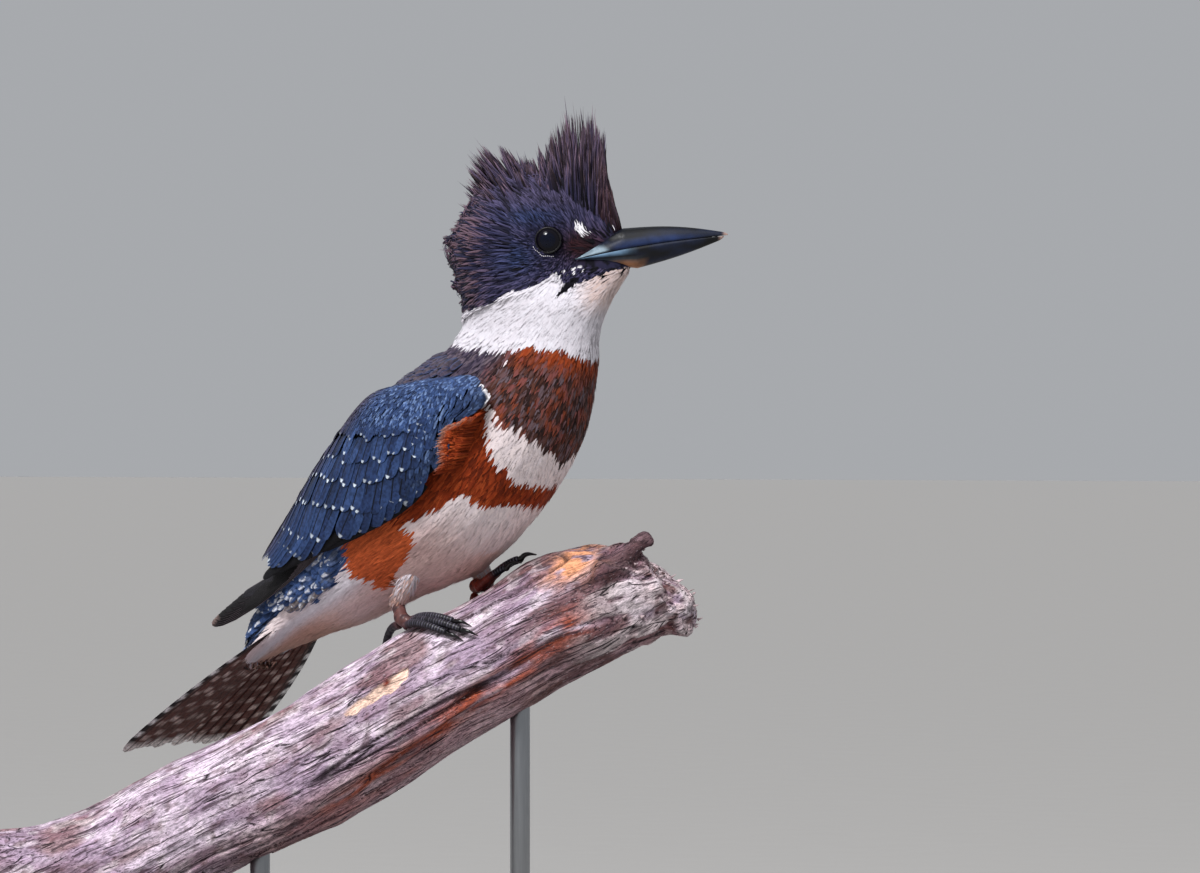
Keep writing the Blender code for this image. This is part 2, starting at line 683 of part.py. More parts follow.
def make_stand(branch):
    bpy.ops.mesh.primitive_cube_add(size=1.0)
    base = bpy.context.object
    base.name = "stand_base"
    base.data.transform(Matrix.Diagonal((*[side * MM for side in BASE_SIZE], 1.0)))
    base.data.transform(Matrix.Translation((0.0, 0.0, BASE_SIZE[2] * MM / 2)))
    base.parent = perch
    for owner in list(base.users_collection):
        owner.objects.unlink(base)
    parts.objects.link(base)
    base.data.materials.append(looks["stand"])
    corners = base.modifiers.new("corners", "BEVEL")
    corners.affect = "EDGES"
    corners.limit_method = "WEIGHT"
    corners.width = BASE_CORNER * MM
    corners.segments = 6
    weights = base.data.attributes.new("bevel_weight_edge", "FLOAT", "EDGE")
    for edge in base.data.edges:
        ends = [base.data.vertices[index].co for index in edge.vertices]
        weights.data[edge.index].value = float(abs(ends[0].z - ends[1].z) > MM)
    for name, along in RODS.items():
        behind = along - PERCH_STATIONS[0][2] * math.sin(math.radians(PERCH_PITCH))
        top = perch_point(behind, math.pi)[2] + ROD_DEPTH
        low = BASE_SIZE[2] - ROD_FOOT
        rod(name, along, low, top, ROD_RADIUS, parts)
        hole = rod(name + "_hole", along, low - GAP, top + GAP, ROD_RADIUS + GAP, cutters)
        cut(branch, hole)
        cut(base, hole)


def rod(name, along, low, high, radius, group):
    bpy.ops.mesh.primitive_cylinder_add(vertices=20, radius=radius * MM, depth=(high - low) * MM)
    made = bpy.context.object
    made.name = name
    made.parent = perch
    made.location = (along * MM, 0.0, (low + high) / 2 * MM)
    made.data.materials.append(looks["rod"])
    made.data.shade_smooth()
    made.data.set_sharp_from_angle(angle=math.radians(40.0))
    for owner in list(made.users_collection):
        owner.objects.unlink(made)
    group.objects.link(made)
    return made


clear_scene()
parts = collection("belted_kingfisher")
cutters = collection("cutters")
slate = (0.05, 0.095, 0.18)
white = (0.80, 0.78, 0.80)
looks = {
    "head": material("crown_feathers", (0.035, 0.04, 0.065), 0.7),
    "crest": material("crest_feathers", (0.045, 0.04, 0.06), 0.7),
    "neck": material("collar_feathers", white, 0.75),
    "breast": material("breast_feathers", (0.12, 0.06, 0.045), 0.75),
    "belly": material("belly_feathers", white, 0.75),
    "rump": material("rump_feathers", slate, 0.7),
    "wing": material("wing_feathers", slate, 0.65),
    "primaries": material("flight_feathers", (0.03, 0.025, 0.025), 0.6),
    "tail": material("tail_feathers", (0.05, 0.03, 0.03), 0.65),
    "eye": material("eye", (0.01, 0.008, 0.008), 0.05),
    "bill": material("bill_horn", (0.015, 0.025, 0.05), 0.35),
    "tarsus": material("leg_skin", (0.16, 0.06, 0.05), 0.6),
    "toes": material("toe_skin", (0.05, 0.035, 0.04), 0.6),
    "claw": material("claw_horn", (0.015, 0.012, 0.015), 0.3),
    "wood": material("weathered_wood", (0.36, 0.29, 0.32), 0.85),
    "stand": material("painted_base", (0.03, 0.03, 0.032), 0.45),
    "rod": material("steel_rod", (0.6, 0.6, 0.6), 0.3, 1.0),
}
bird = frame("bird_frame", BIRD_PLACE, 0.0)
head = frame("head_frame", (BIRD_PLACE[0] + NECK_FORWARD, BIRD_PLACE[1], 0.0), HEAD_TURN)
perch = frame("perch_frame", (0.0, 0.0, 0.0), HEAD_TURN)

body_space = make_trunk()
make_head()
make_wings(body_space)
make_tail()
wood = make_perch()
make_legs(body_space)
make_stand(wood)
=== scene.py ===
# A young belted kingfisher gripping a cut length of dead branch, life size, on a plain stand.
# Lengths are millimetres until a mesh is made. The bird, head and perch frames are the solids' own.
import math

import bmesh
import bpy
import numpy as np
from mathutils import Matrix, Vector
from mathutils.bvhtree import BVHTree


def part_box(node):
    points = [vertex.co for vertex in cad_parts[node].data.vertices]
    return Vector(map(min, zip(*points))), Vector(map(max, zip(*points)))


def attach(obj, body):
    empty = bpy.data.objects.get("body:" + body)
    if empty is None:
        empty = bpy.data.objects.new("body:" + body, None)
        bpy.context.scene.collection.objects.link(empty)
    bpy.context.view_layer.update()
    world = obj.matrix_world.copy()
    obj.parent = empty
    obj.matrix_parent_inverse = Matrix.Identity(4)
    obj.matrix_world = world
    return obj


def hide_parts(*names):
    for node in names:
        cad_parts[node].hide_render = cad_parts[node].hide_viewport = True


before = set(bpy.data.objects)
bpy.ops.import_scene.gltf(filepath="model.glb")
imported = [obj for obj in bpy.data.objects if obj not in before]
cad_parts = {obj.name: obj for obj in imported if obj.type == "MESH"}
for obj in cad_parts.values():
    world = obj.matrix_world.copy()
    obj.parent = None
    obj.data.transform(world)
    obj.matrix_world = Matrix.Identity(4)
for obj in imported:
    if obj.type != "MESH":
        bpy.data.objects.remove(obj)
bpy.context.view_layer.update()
mm = 0.001
root = "root"

pose = {
    "place": np.array((-9.6, 14.3, 0.0)),      # the body's own origin
    "neck": np.array((63.7, 0.0, 0.0)),        # where the head turns, from the body's origin
    "turn": 34.0,                              # turn of head and perch from the body's line
}


def unit(vectors):
    return vectors / np.maximum(np.linalg.norm(vectors, axis=-1, keepdims=True), 1e-9)


def smooth(value, low, high):
    share = np.clip((value - low) / (high - low), 0.0, 1.0)
    return share * share * (3 - 2 * share)


def linear(code):
    # a colour's linear values from its sRGB hex
    values = np.array([int(code[i:i + 2], 16) for i in (1, 3, 5)]) / 255
    return np.where(values <= 0.04045, values / 12.92, ((values + 0.055) / 1.055) ** 2.4)


def mix(first, second, share):
    # each a colour's hex or an array
    first, second = (linear(part) if isinstance(part, str) else part for part in (first, second))
    return first + (second - first) * np.asarray(share)[..., None]


def spline(rows, t):
    # smooth curve through equally spaced rows, for t from 0 to 1
    rows = np.asarray(rows, float)
    rows = rows[:, None] if rows.ndim == 1 else rows
    place = np.clip(np.asarray(t, float), 0, 1) * (len(rows) - 1)
    index = np.minimum(place.astype(int), len(rows) - 2)
    s = (place - index)[..., None]
    before, b = rows[np.maximum(index - 1, 0)], rows[index]
    c, after = rows[index + 1], rows[np.minimum(index + 2, len(rows) - 1)]
    slopeB, slopeC = (c - before) / 2, (after - b) / 2
    return (b + s * slopeB + s ** 2 * (3 * (c - b) - 2 * slopeB - slopeC)
            + s ** 3 * (2 * (b - c) + slopeB + slopeC))


def grain(points, size, seed=0):
    # smooth noise from 0 to 1 with bumps of that size
    spots = np.asarray(points, float) / size
    cell = np.floor(spots).astype(np.int64)
    part = spots - cell
    part = part * part * (3 - 2 * part)
    total = np.zeros(spots.shape[:-1])
    for corner in range(8):
        offset = np.array([corner & 1, corner >> 1 & 1, corner >> 2])
        key = cell + offset
        mixed = key[..., 0] * 73856093 ^ key[..., 1] * 19349663 ^ key[..., 2] * 83492791 ^ (seed + 1) * 6151
        mixed = (mixed ^ mixed >> 13) * 1274126177
        value = ((mixed ^ mixed >> 16) & 65535) / 65535
        total += value * np.prod(np.where(offset, part, 1 - part), axis=-1)
    return total


def turned(points, degrees):
    c, s = math.cos(math.radians(degrees)), math.sin(math.radians(degrees))
    x, y, z = points[..., 0], points[..., 1], points[..., 2]
    return np.stack((c * x - s * y, s * x + c * y, z), -1)


def fromHead(points):
    return turned(np.asarray(points, float), pose["turn"]) + pose["place"] + pose["neck"]


def toHead(points):
    return turned(points - pose["place"] - pose["neck"], -pose["turn"])


def fromPerch(points):
    return turned(np.asarray(points, float), pose["turn"])


def toPerch(points):
    return turned(points, -pose["turn"])


def placed(name, data):
    made = bpy.data.objects.new(name, data)
    bpy.context.scene.collection.objects.link(made)
    return made


def evaluated(made):
    # the object's mesh as its modifiers leave it, and the object itself goes
    mesh = bpy.data.meshes.new_from_object(made.evaluated_get(bpy.context.evaluated_depsgraph_get()))
    bpy.data.objects.remove(made)
    return mesh


def piece(name, mesh, look, stands=()):
    mesh.materials.clear()
    mesh.materials.append(look)
    made = placed(name, mesh)
    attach(made, root)
    if stands:
        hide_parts(*stands)


def paintLayer(mesh, name, shades):
    full = np.concatenate((shades, np.ones((len(shades), 1))), 1).astype(np.float32)
    mesh.color_attributes.new(name, "FLOAT_COLOR", "POINT").data.foreach_set("color", full.ravel())


def meshOf(name, points, faces, look, stands=(), tint=None, marks=None, uvs=None, soft=None):
    # a piece from points in millimetres and triangles; soft holds directions that its normals lean to
    mesh = bpy.data.meshes.new(name)
    faces = np.ascontiguousarray(faces, np.int32)
    mesh.vertices.add(len(points))
    mesh.vertices.foreach_set("co", (np.asarray(points) * mm).astype(np.float32).ravel())
    mesh.loops.add(faces.size)
    mesh.loops.foreach_set("vertex_index", faces.ravel())
    mesh.polygons.add(len(faces))
    mesh.polygons.foreach_set("loop_start", np.arange(0, faces.size, 3, dtype=np.int32))
    mesh.update(calc_edges=True)
    paintLayer(mesh, "tint", tint)
    if marks is not None:
        paintLayer(mesh, "marks", marks)
    for layer, places in (uvs or {}).items():
        spots = places[faces.ravel()].astype(np.float32)
        mesh.uv_layers.new(name=layer).data.foreach_set("uv", spots.ravel())
    mesh.shade_smooth()
    if soft is not None:
        own = np.empty(len(points) * 3, np.float32)
        mesh.vertex_normals.foreach_get("vector", own)
        lean = unit(own.reshape(-1, 3) * (1 - soft[1]) + soft[0] * soft[1])
        mesh.normals_split_custom_set_from_vertices(lean.tolist())
    piece(name, mesh, look, stands)


def gridFaces(rows, columns, roundRows=False, roundColumns=True):
    # two triangles to each cell of a grid of points, which may close on itself
    index = np.arange(rows * columns).reshape(rows, columns)
    index = np.concatenate((index, index[:1])) if roundRows else index
    index = np.concatenate((index, index[:, :1]), 1) if roundColumns else index
    a, b, c, d = index[:-1, :-1], index[:-1, 1:], index[1:, 1:], index[1:, :-1]
    return np.concatenate([np.stack([corner.ravel() for corner in triple], 1)
                           for triple in ((a, b, c), (a, c, d))])


def tubeFaces(rings, sides):
    # a grid closed round its sides, with a fan over each end
    last = (rings - 1) * sides
    caps = [(0, k + 1, k) for k in range(1, sides - 1)]
    caps += [(last, last + k, last + k + 1) for k in range(1, sides - 1)]
    return np.concatenate((gridFaces(rings, sides), np.array(caps)))


def outward(points, faces):
    corners = points[faces] - points.mean(0)
    volume = np.einsum("ij,ij->i", corners[:, 0], np.cross(corners[:, 1], corners[:, 2])).sum()
    return faces if volume > 0 else faces[:, ::-1]


def blades(shape, base, middle, tip, upBase, upTip, halfWidth):
    # tapering closed blades through three points each: points, faces, share along, share across, blade
    shares = np.array([row[0] for row in shape["outline"]])
    widths = np.array([row[1] for row in shape["outline"]])
    top, under = shape["top"], shape["under"]
    across = np.concatenate((np.linspace(-1, 1, top), np.linspace(1, -1, under + 2)[1:-1]))
    rise = np.concatenate((np.ones(top), -np.ones(under)))
    count, rings, ring = len(base), len(shares), top + under     # ring: points round a blade
    control = 2 * middle - (base + tip) / 2
    a = np.append(shares, 1.0)[None, :, None]
    centre = (1 - a) ** 2 * base[:, None] + 2 * a * (1 - a) * control[:, None] + a ** 2 * tip[:, None]
    tangent = unit(2 * (1 - a) * (control - base)[:, None] + 2 * a * (tip - control)[:, None])
    up = upBase[:, None] * (1 - a) + upTip[:, None] * a
    up = unit(up - tangent * (up * tangent).sum(-1, keepdims=True))
    side = np.cross(tangent, up)
    reach = halfWidth[:, None, None] * widths[None, :, None]
    height = shape["ridge"] * rise * (1 - across ** 2) - shape["camber"] * across ** 2
    body = (centre[:, :rings, None] + side[:, :rings, None] * (reach * across)[..., None]
            + up[:, :rings, None] * (reach * height)[..., None])
    size = rings * ring + 1
    points = np.concatenate((body.reshape(count, -1, 3), centre[:, rings:]), 1).reshape(-1, 3)
    faces = [(0, k + 1, k) for k in range(1, ring - 1)]
    for low in range(0, (rings - 1) * ring, ring):
        for k in range(ring):
            follow = (k + 1) % ring
            faces.append((low + k, low + follow, low + ring + follow))
            faces.append((low + k, low + ring + follow, low + ring + k))
    last = (rings - 1) * ring
    faces += [(last + k, last + (k + 1) % ring, size - 1) for k in range(ring)]
    every = (np.arange(count)[:, None, None] * size + np.array(faces)[None]).reshape(-1, 3)
    along = np.tile(np.append(np.repeat(shares, ring), 1.0), count)
    sideways = np.tile(np.append(np.tile(across, rings), 0.0), count)
    return points, every, along, sideways, np.repeat(np.arange(count), size)


def patches(places, along, sideways, owner, size=0.003):
    # the map for the export: each blade a small patch at its root's place
    return np.clip(places, 0.004, 0.996)[owner] + size * np.stack((sideways / 2, along - 0.5), 1)


def lockMaps(places, along, sideways, owner, stretch):
    # the barbs' own map, each lock on another stretch of it, beside the one for the export
    barbs = np.stack((along * stretch + (owner * 1.7) % 40, sideways / 2), -1)
    return {"vane": barbs, "OFBake": patches(places, along, sideways, owner)}


def vaneMap(along, sideways):
    return np.stack((along, sideways / 2 + 0.5), 1)


class Surface:
    # triangles with their normals, for nearest points and for scattering

    def __init__(self, points, faces):
        self.points, self.faces = points, faces
        corners = points[faces]
        cross = np.cross(corners[:, 1] - corners[:, 0], corners[:, 2] - corners[:, 0])
        self.areas = np.linalg.norm(cross, axis=1) / 2
        self.middles = corners.mean(1)
        normals = np.zeros_like(points)
        for k in range(3):
            np.add.at(normals, faces[:, k], cross)
        self.normals = unit(normals)
        self.tree = BVHTree.FromPolygons(points.tolist(), faces.tolist())

    def nearest(self, spots):
        # nearest points and smooth normals there
        found = [self.tree.find_nearest(spot) for spot in spots.tolist()]
        places = np.array([hit[0] for hit in found])
        index = np.array([hit[2] for hit in found])
        corners = self.points[self.faces[index]]
        weights = 1 / (np.linalg.norm(corners - places[:, None], axis=2) + 0.05)
        normals = (self.normals[self.faces[index]] * weights[..., None]).sum(1)
        return places, unit(normals)

    def scatter(self, rng, chosen, spacing):
        # points about that far apart on the triangles whose middles are chosen
        share = self.areas * chosen
        wanted = int(share.sum() / spacing ** 2 * 3)
        picked = rng.choice(len(share), wanted, p=share / share.sum())
        first, second = rng.random(wanted), rng.random(wanted)
        over = first + second > 1
        first, second = np.where(over, 1 - first, first), np.where(over, 1 - second, second)
        weights = np.stack((1 - first - second, first, second), 1)[..., None]
        spots = (self.points[self.faces[picked]] * weights).sum(1)
        normals = unit((self.normals[self.faces[picked]] * weights).sum(1))
        cells = np.floor(spots / (spacing * 1.22)).astype(np.int64)
        _, kept = np.unique(cells, axis=0, return_index=True)
        return spots[kept], normals[kept]


smoothStep = {"interpolation_type": "SMOOTHSTEP"}
multiply = {"operation": "MULTIPLY"}
multiplyAdd = {"operation": "MULTIPLY_ADD"}
scaleBy = {"operation": "SCALE"}
mixColours = {"data_type": "RGBA"}


def addNode(tree, kind, inputs=(), output=0, **settings):
    # a node with its settings, each input set to a value or linked to another node's output
    made = tree.nodes.new(kind)
    for key, value in settings.items():
        setattr(made, key, value)
    for socket, given in dict(inputs).items():
        if isinstance(given, bpy.types.NodeSocket):
            tree.links.new(given, made.inputs[socket])
        else:
            made.inputs[socket].default_value = given
    return made.outputs[output]


def newLook(name, values):
    # a material with one Principled shader, whose plain values are on its own sockets, and Object places
    look = bpy.data.materials.new(name)
    look.use_nodes = True
    tree = look.node_tree
    shader = tree.nodes["Principled BSDF"]
    for socket, value in values.items():
        shader.inputs[socket].default_value = value
    return look, tree, addNode(tree, "ShaderNodeTexCoord").node.outputs["Object"]


def finishLook(look, sources, relief=(), strength=1.0, depth=0.0):
    # patterns joined to the shader's sockets, with a bump that many metres deep
    tree, shader = look.node_tree, look.node_tree.nodes["Principled BSDF"]
    for socket, source in sources.items():
        tree.links.new(source, shader.inputs[socket])
    if relief:
        bump = addNode(tree, "ShaderNodeBump", {"Strength": strength, "Distance": depth, "Height": relief})
        tree.links.new(bump, shader.inputs["Normal"])
    return look


def mottle(tree, places, scale, fromLow, fromHigh, low, high, detail=3.0):
    # soft noise with its middle range carried to another
    noise = addNode(tree, "ShaderNodeTexNoise", {"Vector": places, "Scale": scale, "Detail": detail})
    reach = {0: noise, 1: fromLow, 2: fromHigh, 3: low, 4: high}
    return addNode(tree, "ShaderNodeMapRange", reach, **smoothStep)


def shaded(tree, shade):
    # the piece's own colours, made darker or lighter by a pattern
    tint = addNode(tree, "ShaderNodeAttribute", attribute_name="tint")
    return addNode(tree, "ShaderNodeVectorMath", {0: tint, 3: shade}, **scaleBy)


def ownMarks(tree):
    # three shares that a piece gives for its patterns
    marks = addNode(tree, "ShaderNodeAttribute", attribute_name="marks")
    return addNode(tree, "ShaderNodeSeparateColor", {0: marks}).node.outputs


def plumageLook(name, roughness, sheen, contrast):
    # downy contour feathers: loose barbs scatter the light, with a faint sheen and no gloss
    look, tree, spots = newLook(name, {"Roughness": roughness, "Specular IOR Level": 0.12, "IOR": 1.54,
                                       "Sheen Weight": sheen, "Sheen Roughness": 0.5})
    fleck = mottle(tree, spots, 650.0, 0.3, 0.7, 0.9, 1.08)                 # 1.5 mm, a feather's width
    vane = addNode(tree, "ShaderNodeUVMap", uv_map="vane")
    barbs = addNode(tree, "ShaderNodeMapping", {0: vane, "Scale": (1.6, 7.0, 1.0)})
    barbs = mottle(tree, barbs, 1.0, 0.3, 0.7, 1 - contrast, 1 + contrast * 0.6, 2.0)    # coarser than real
    tint = addNode(tree, "ShaderNodeAttribute", attribute_name="tint")
    bright = addNode(tree, "ShaderNodeRGBToBW", {0: tint})
    calm = addNode(tree, "ShaderNodeMapRange", {0: bright, 1: 0.2, 2: 0.7, 3: 0.0, 4: 0.6}, **smoothStep)
    flecked = addNode(tree, "ShaderNodeMath", {0: fleck, 1: barbs}, **multiply)
    shade = addNode(tree, "ShaderNodeMix", {0: calm, 2: flecked, 3: 1.0})   # pale down hides its barbs
    return finishLook(look, {"Base Color": shaded(tree, shade)})


def vaneLook(name, roughness, shaftColour, tickColour, fringeColour, fringeStart, barbs):
    # firm closed vanes: barbs locked in fine slanting ridges from a darker shaft give a silky shine
    look, tree, spots = newLook(name, {"Roughness": roughness, "Specular IOR Level": 0.14, "IOR": 1.54,
                                       "Sheen Weight": 0.02})
    marks = ownMarks(tree)
    vane = addNode(tree, "ShaderNodeUVMap", uv_map="vane")
    vane = addNode(tree, "ShaderNodeSeparateXYZ", {0: vane}).node.outputs
    out = addNode(tree, "ShaderNodeMath", {0: vane[1], 1: 0.5}, operation="SUBTRACT")
    out = addNode(tree, "ShaderNodeMath", {0: out}, operation="ABSOLUTE")
    out = addNode(tree, "ShaderNodeMath", {0: out, 1: 2.0}, **multiply)     # 0 at the shaft, 1 at the edges
    slant = addNode(tree, "ShaderNodeMath", {0: out, 1: 0.35, 2: vane[0]}, **multiplyAdd)
    ridge = addNode(tree, "ShaderNodeMath", {0: slant, 1: barbs}, **multiply)
    ridge = addNode(tree, "ShaderNodeMath", {0: ridge}, operation="SINE")
    fleck = mottle(tree, spots, 700.0, 0.3, 0.7, 0.62, 1.36)                # 1.4 mm
    shade = addNode(tree, "ShaderNodeMath", {0: ridge, 1: 0.14, 2: fleck}, **multiplyAdd)
    colour = shaded(tree, shade)
    tickWidth = addNode(tree, "ShaderNodeMapRange", {0: out, 1: 0.2, 2: 0.55, 3: 1.0, 4: 0.0}, **smoothStep)
    for code, source, fromLow, fromHigh, low, high, masks in (
            (fringeColour, out, fringeStart, 0.98, 0.0, 1.0, (marks[2],)),
            (shaftColour, out, 0.03, 0.13, 1.0, 0.0, (marks[1],)),
            (tickColour, vane[0], 0.88, 0.93, 0.0, 1.0, (tickWidth, marks[0]))):
        share = addNode(tree, "ShaderNodeMapRange", {0: source, 1: fromLow, 2: fromHigh, 3: low, 4: high},
                        **smoothStep)
        for mask in masks:
            share = addNode(tree, "ShaderNodeMath", {0: share, 1: mask}, **multiply)
        colour = addNode(tree, "ShaderNodeMix", {0: share, 6: colour, 7: (*linear(code), 1)}, 2, **mixColours)
    return finishLook(look, {"Base Color": colour}, ridge, 0.25, 0.00012)


def hornLook(name, roughness, polish, depth):
    # grown keratin: a dense smooth sheath with faint growth lines under a soft polish
    look, tree, spots = newLook(name, {"Roughness": roughness, "Coat Weight": polish, "Coat Roughness": 0.18,
                                       "Specular IOR Level": 0.25, "IOR": 1.54})
    shade = mottle(tree, spots, 260.0, 0.3, 0.7, 0.75, 1.25, 4.0)           # clouds 4 mm wide
    rough = mottle(tree, spots, 900.0, 0.0, 1.0, roughness * 0.8, roughness * 1.35)
    lines = addNode(tree, "ShaderNodeTexNoise", {"Vector": spots, "Scale": 1500.0, "Detail": 2.0})   # 0.7 mm
    return finishLook(look, {"Base Color": shaded(tree, shade), "Roughness": rough}, lines, 0.3, depth)


def eyeLook():
    # wet cornea over a nearly black brown iris: one clear glossy coat
    look, tree, spots = newLook("wetDarkEye", {"Roughness": 0.07, "IOR": 1.376, "Specular IOR Level": 0.3})
    iris = mottle(tree, spots, 1800.0, 0.0, 1.0, 0.6, 1.4, 4.0)             # 0.6 mm
    return finishLook(look, {"Base Color": shaded(tree, iris)})


def woodLook():
    # dead branch weathered grey: soft early wood worn into fibres along the grain, with checks and stains
    look, tree, spots = newLook("weatheredBranchWood", {"Roughness": 0.85, "Specular IOR Level": 0.2,
                                                        "IOR": 1.5})
    lying = spots
    for turn in ((0, 0, -34), (0, 26, 0)):                  # turned to lie along the branch
        turn = [math.radians(part) for part in turn]
        lying = addNode(tree, "ShaderNodeMapping", {0: lying, "Rotation": turn})
    waves = addNode(tree, "ShaderNodeTexNoise", {0: lying, "Scale": 45.0, "Detail": 2.0}, 1)
    sway = (0.004, 0.004, 0.004)                            # the grain wanders 4 mm
    bent = addNode(tree, "ShaderNodeVectorMath", {0: waves, 1: sway, 2: lying}, **multiplyAdd)
    noises = {}
    for key, stretch, scale, detail, rough in (
            ("fine", 0.3, 1300.0, 5.0, 0.8),                # fibres 0.8 mm wide
            ("broad", 0.4, 340.0, 4.0, 0.7),                # patches 3 mm wide
            ("lines", 0.03, 1000.0, 2.0, 0.5),              # grain lines 1 mm apart
            ("pores", 0.45, 1200.0, 3.0, 0.6)):
        place = addNode(tree, "ShaderNodeMapping", {0: bent, "Scale": (stretch, 1.0, 1.0)})
        noises[key] = addNode(tree, "ShaderNodeTexNoise", {"Vector": place, "Scale": scale, "Detail": detail,
                                                           "Roughness": rough})
    place = addNode(tree, "ShaderNodeMapping", {0: bent, "Scale": (0.05, 1.0, 1.0)})
    noises["cells"] = addNode(tree, "ShaderNodeTexVoronoi", {"Vector": place, "Scale": 150.0},
                              feature="DISTANCE_TO_EDGE")   # checks 6 mm apart
    noises["patch"] = addNode(tree, "ShaderNodeTexNoise", {"Vector": spots, "Scale": 60.0, "Detail": 3.0})
    shares = {}
    for key, source, fromLow, fromHigh, low, high in (
            ("fine", "fine", 0.36, 0.64, 0.0, 1.0), ("broad", "broad", 0.34, 0.66, 0.42, 0.72),
            ("patch", "patch", 0.5, 0.7, 0.0, 0.35), ("thin", "lines", 0.56, 0.66, 0.0, 0.75),
            ("pits", "pores", 0.6, 0.66, 0.0, 0.9), ("pitArea", "patch", 0.42, 0.6, 0.15, 1.0),
            ("flecks", "pores", 0.3, 0.4, 0.35, 0.0), ("gap", "cells", 0.0, 0.035, 1.0, 0.0),
            ("gapArea", "broad", 0.45, 0.58, 0.0, 1.0)):
        shares[key] = addNode(tree, "ShaderNodeMapRange", {0: noises[source], 1: fromLow, 2: fromHigh, 3: low,
                                                           4: high}, **smoothStep)
    for key in ("pit", "gap"):
        both = {0: shares["pits" if key == "pit" else key], 1: shares[key + "Area"]}
        shares[key] = addNode(tree, "ShaderNodeMath", both, **multiply)
    shade = addNode(tree, "ShaderNodeMath", {0: shares["fine"], 1: 0.85, 2: shares["broad"]}, **multiplyAdd)
    colour, marks = shaded(tree, shade), ownMarks(tree)
    for key, code in (("patch", "#8f6c79"), ("thin", "#4a3640"), ("pit", "#2e1f28"), ("flecks", "#e3d6de"),
                      ("gap", "#21161e")):
        shares[key + "Worn"] = addNode(tree, "ShaderNodeMath", {0: shares[key], 1: marks[0]}, **multiply)
        both = {0: shares[key + "Worn"], 6: colour, 7: (*linear(code), 1)}
        colour = addNode(tree, "ShaderNodeMix", both, 2, **mixColours)
    relief = addNode(tree, "ShaderNodeMath", {0: noises["fine"], 1: 0.6, 2: noises["broad"]}, **multiplyAdd)
    for cut in ("gap", "thinWorn"):
        relief = addNode(tree, "ShaderNodeMath", {0: relief, 1: shares[cut]}, operation="SUBTRACT")
    return finishLook(look, {"Base Color": colour}, relief, 1.0, 0.0011)


def plainLook(name, colour, roughness, metallic=0.0, scale=400.0, stretch=(1, 1, 1), coat=0.0, wear=0.18):
    # a made surface: even colour with slight wear in its shade, roughness and relief
    look, tree, spots = newLook(name, {"Metallic": metallic, "Roughness": roughness, "Coat Weight": coat,
                                       "Coat Roughness": 0.25})
    spots = addNode(tree, "ShaderNodeMapping", {0: spots, "Scale": stretch})
    worn = addNode(tree, "ShaderNodeTexNoise", {"Vector": spots, "Scale": scale, "Detail": 4.0})
    low, high = linear(colour) * (1 - wear), np.minimum(linear(colour) * (1 + wear), 1)
    shade = addNode(tree, "ShaderNodeMix", {0: worn, 6: (*low, 1), 7: (*high, 1)}, 2, **mixColours)
    reach = {0: worn, 3: roughness * 0.85, 4: roughness * 1.2}
    rough = addNode(tree, "ShaderNodeMapRange", reach, **smoothStep)
    return finishLook(look, {"Base Color": shade, "Roughness": rough}, worn, 0.15, 0.0002)


looks = {
    "down": plumageLook("underDown", 0.9, 0.05, 0.0),
    "plumage": plumageLook("contourPlumage", 0.8, 0.04, 0.22),
    "hair": plumageLook("crestPlumage", 0.6, 0.02, 0.35),
    "covert": vaneLook("slateCoverts", 0.6, "#070b14", "#dfeaf5", "#3f5a8c", 0.55, 150.0),
    "flight": vaneLook("flightFeathers", 0.7, "#080607", "#d8c3bd", "#8b7f86", 0.84, 420.0),
    "bill": hornLook("billHorn", 0.44, 0.03, 0.00008),
    "claw": hornLook("clawHorn", 0.28, 0.4, 0.00006),
    "leg": hornLook("scalyLegSkin", 0.5, 0.12, 0.00025),
    "lid": hornLook("eyelidSkin", 0.5, 0.1, 0.00015),
    "wood": woodLook(),
    "splinter": hornLook("tornWoodFibre", 0.85, 0.0, 0.0003),
    "eye": eyeLook(),
}
print("looks made")


trunk = {
    # forward, height, pitch of the spine, half depth, half width, turn to the left
    "stations": ((-54.5, 149.5, 40.0, 16.8, 19.0, 0.0), (-36.0, 163.0, 37.0, 23.0, 24.5, 0.0),
                 (-13.0, 181.0, 38.0, 31.5, 30.0, 0.0), (11.5, 198.5, 43.0, 39.5, 33.0, 0.0),
                 (31.5, 217.5, 52.0, 41.0, 33.0, 0.0), (47.5, 234.2, 63.0, 38.0, 30.5, 0.0),
                 (57.5, 250.5, 75.0, 32.2, 26.0, 8.0), (61.5, 264.0, 84.0, 29.0, 23.0, 22.0),
                 (63.7, 275.0, 90.0, 30.0, 21.5, 34.0)),
    "squareness": 2.15,
    "neckBase": 262.0,       # heights over which the trunk's lie of feathers gives way to the head's
    "neckTop": 276.0,
}


def trunkAxes(t):
    forward, height, pitch, depth, width, turn = np.moveaxis(spline(trunk["stations"], t), -1, 0)
    tilt, yaw = np.radians(pitch), np.radians(turn)
    middle = np.stack((forward, 0 * forward, height), -1)
    upward = np.stack((-np.sin(tilt) * np.cos(yaw), -np.sin(tilt) * np.sin(yaw), np.cos(tilt)), -1)
    outward = np.stack((-np.sin(yaw), np.cos(yaw), 0 * yaw), -1)
    ahead = np.stack((np.cos(tilt) * np.cos(yaw), np.cos(tilt) * np.sin(yaw), np.sin(tilt)), -1)
    return middle, upward, outward, ahead, depth, width


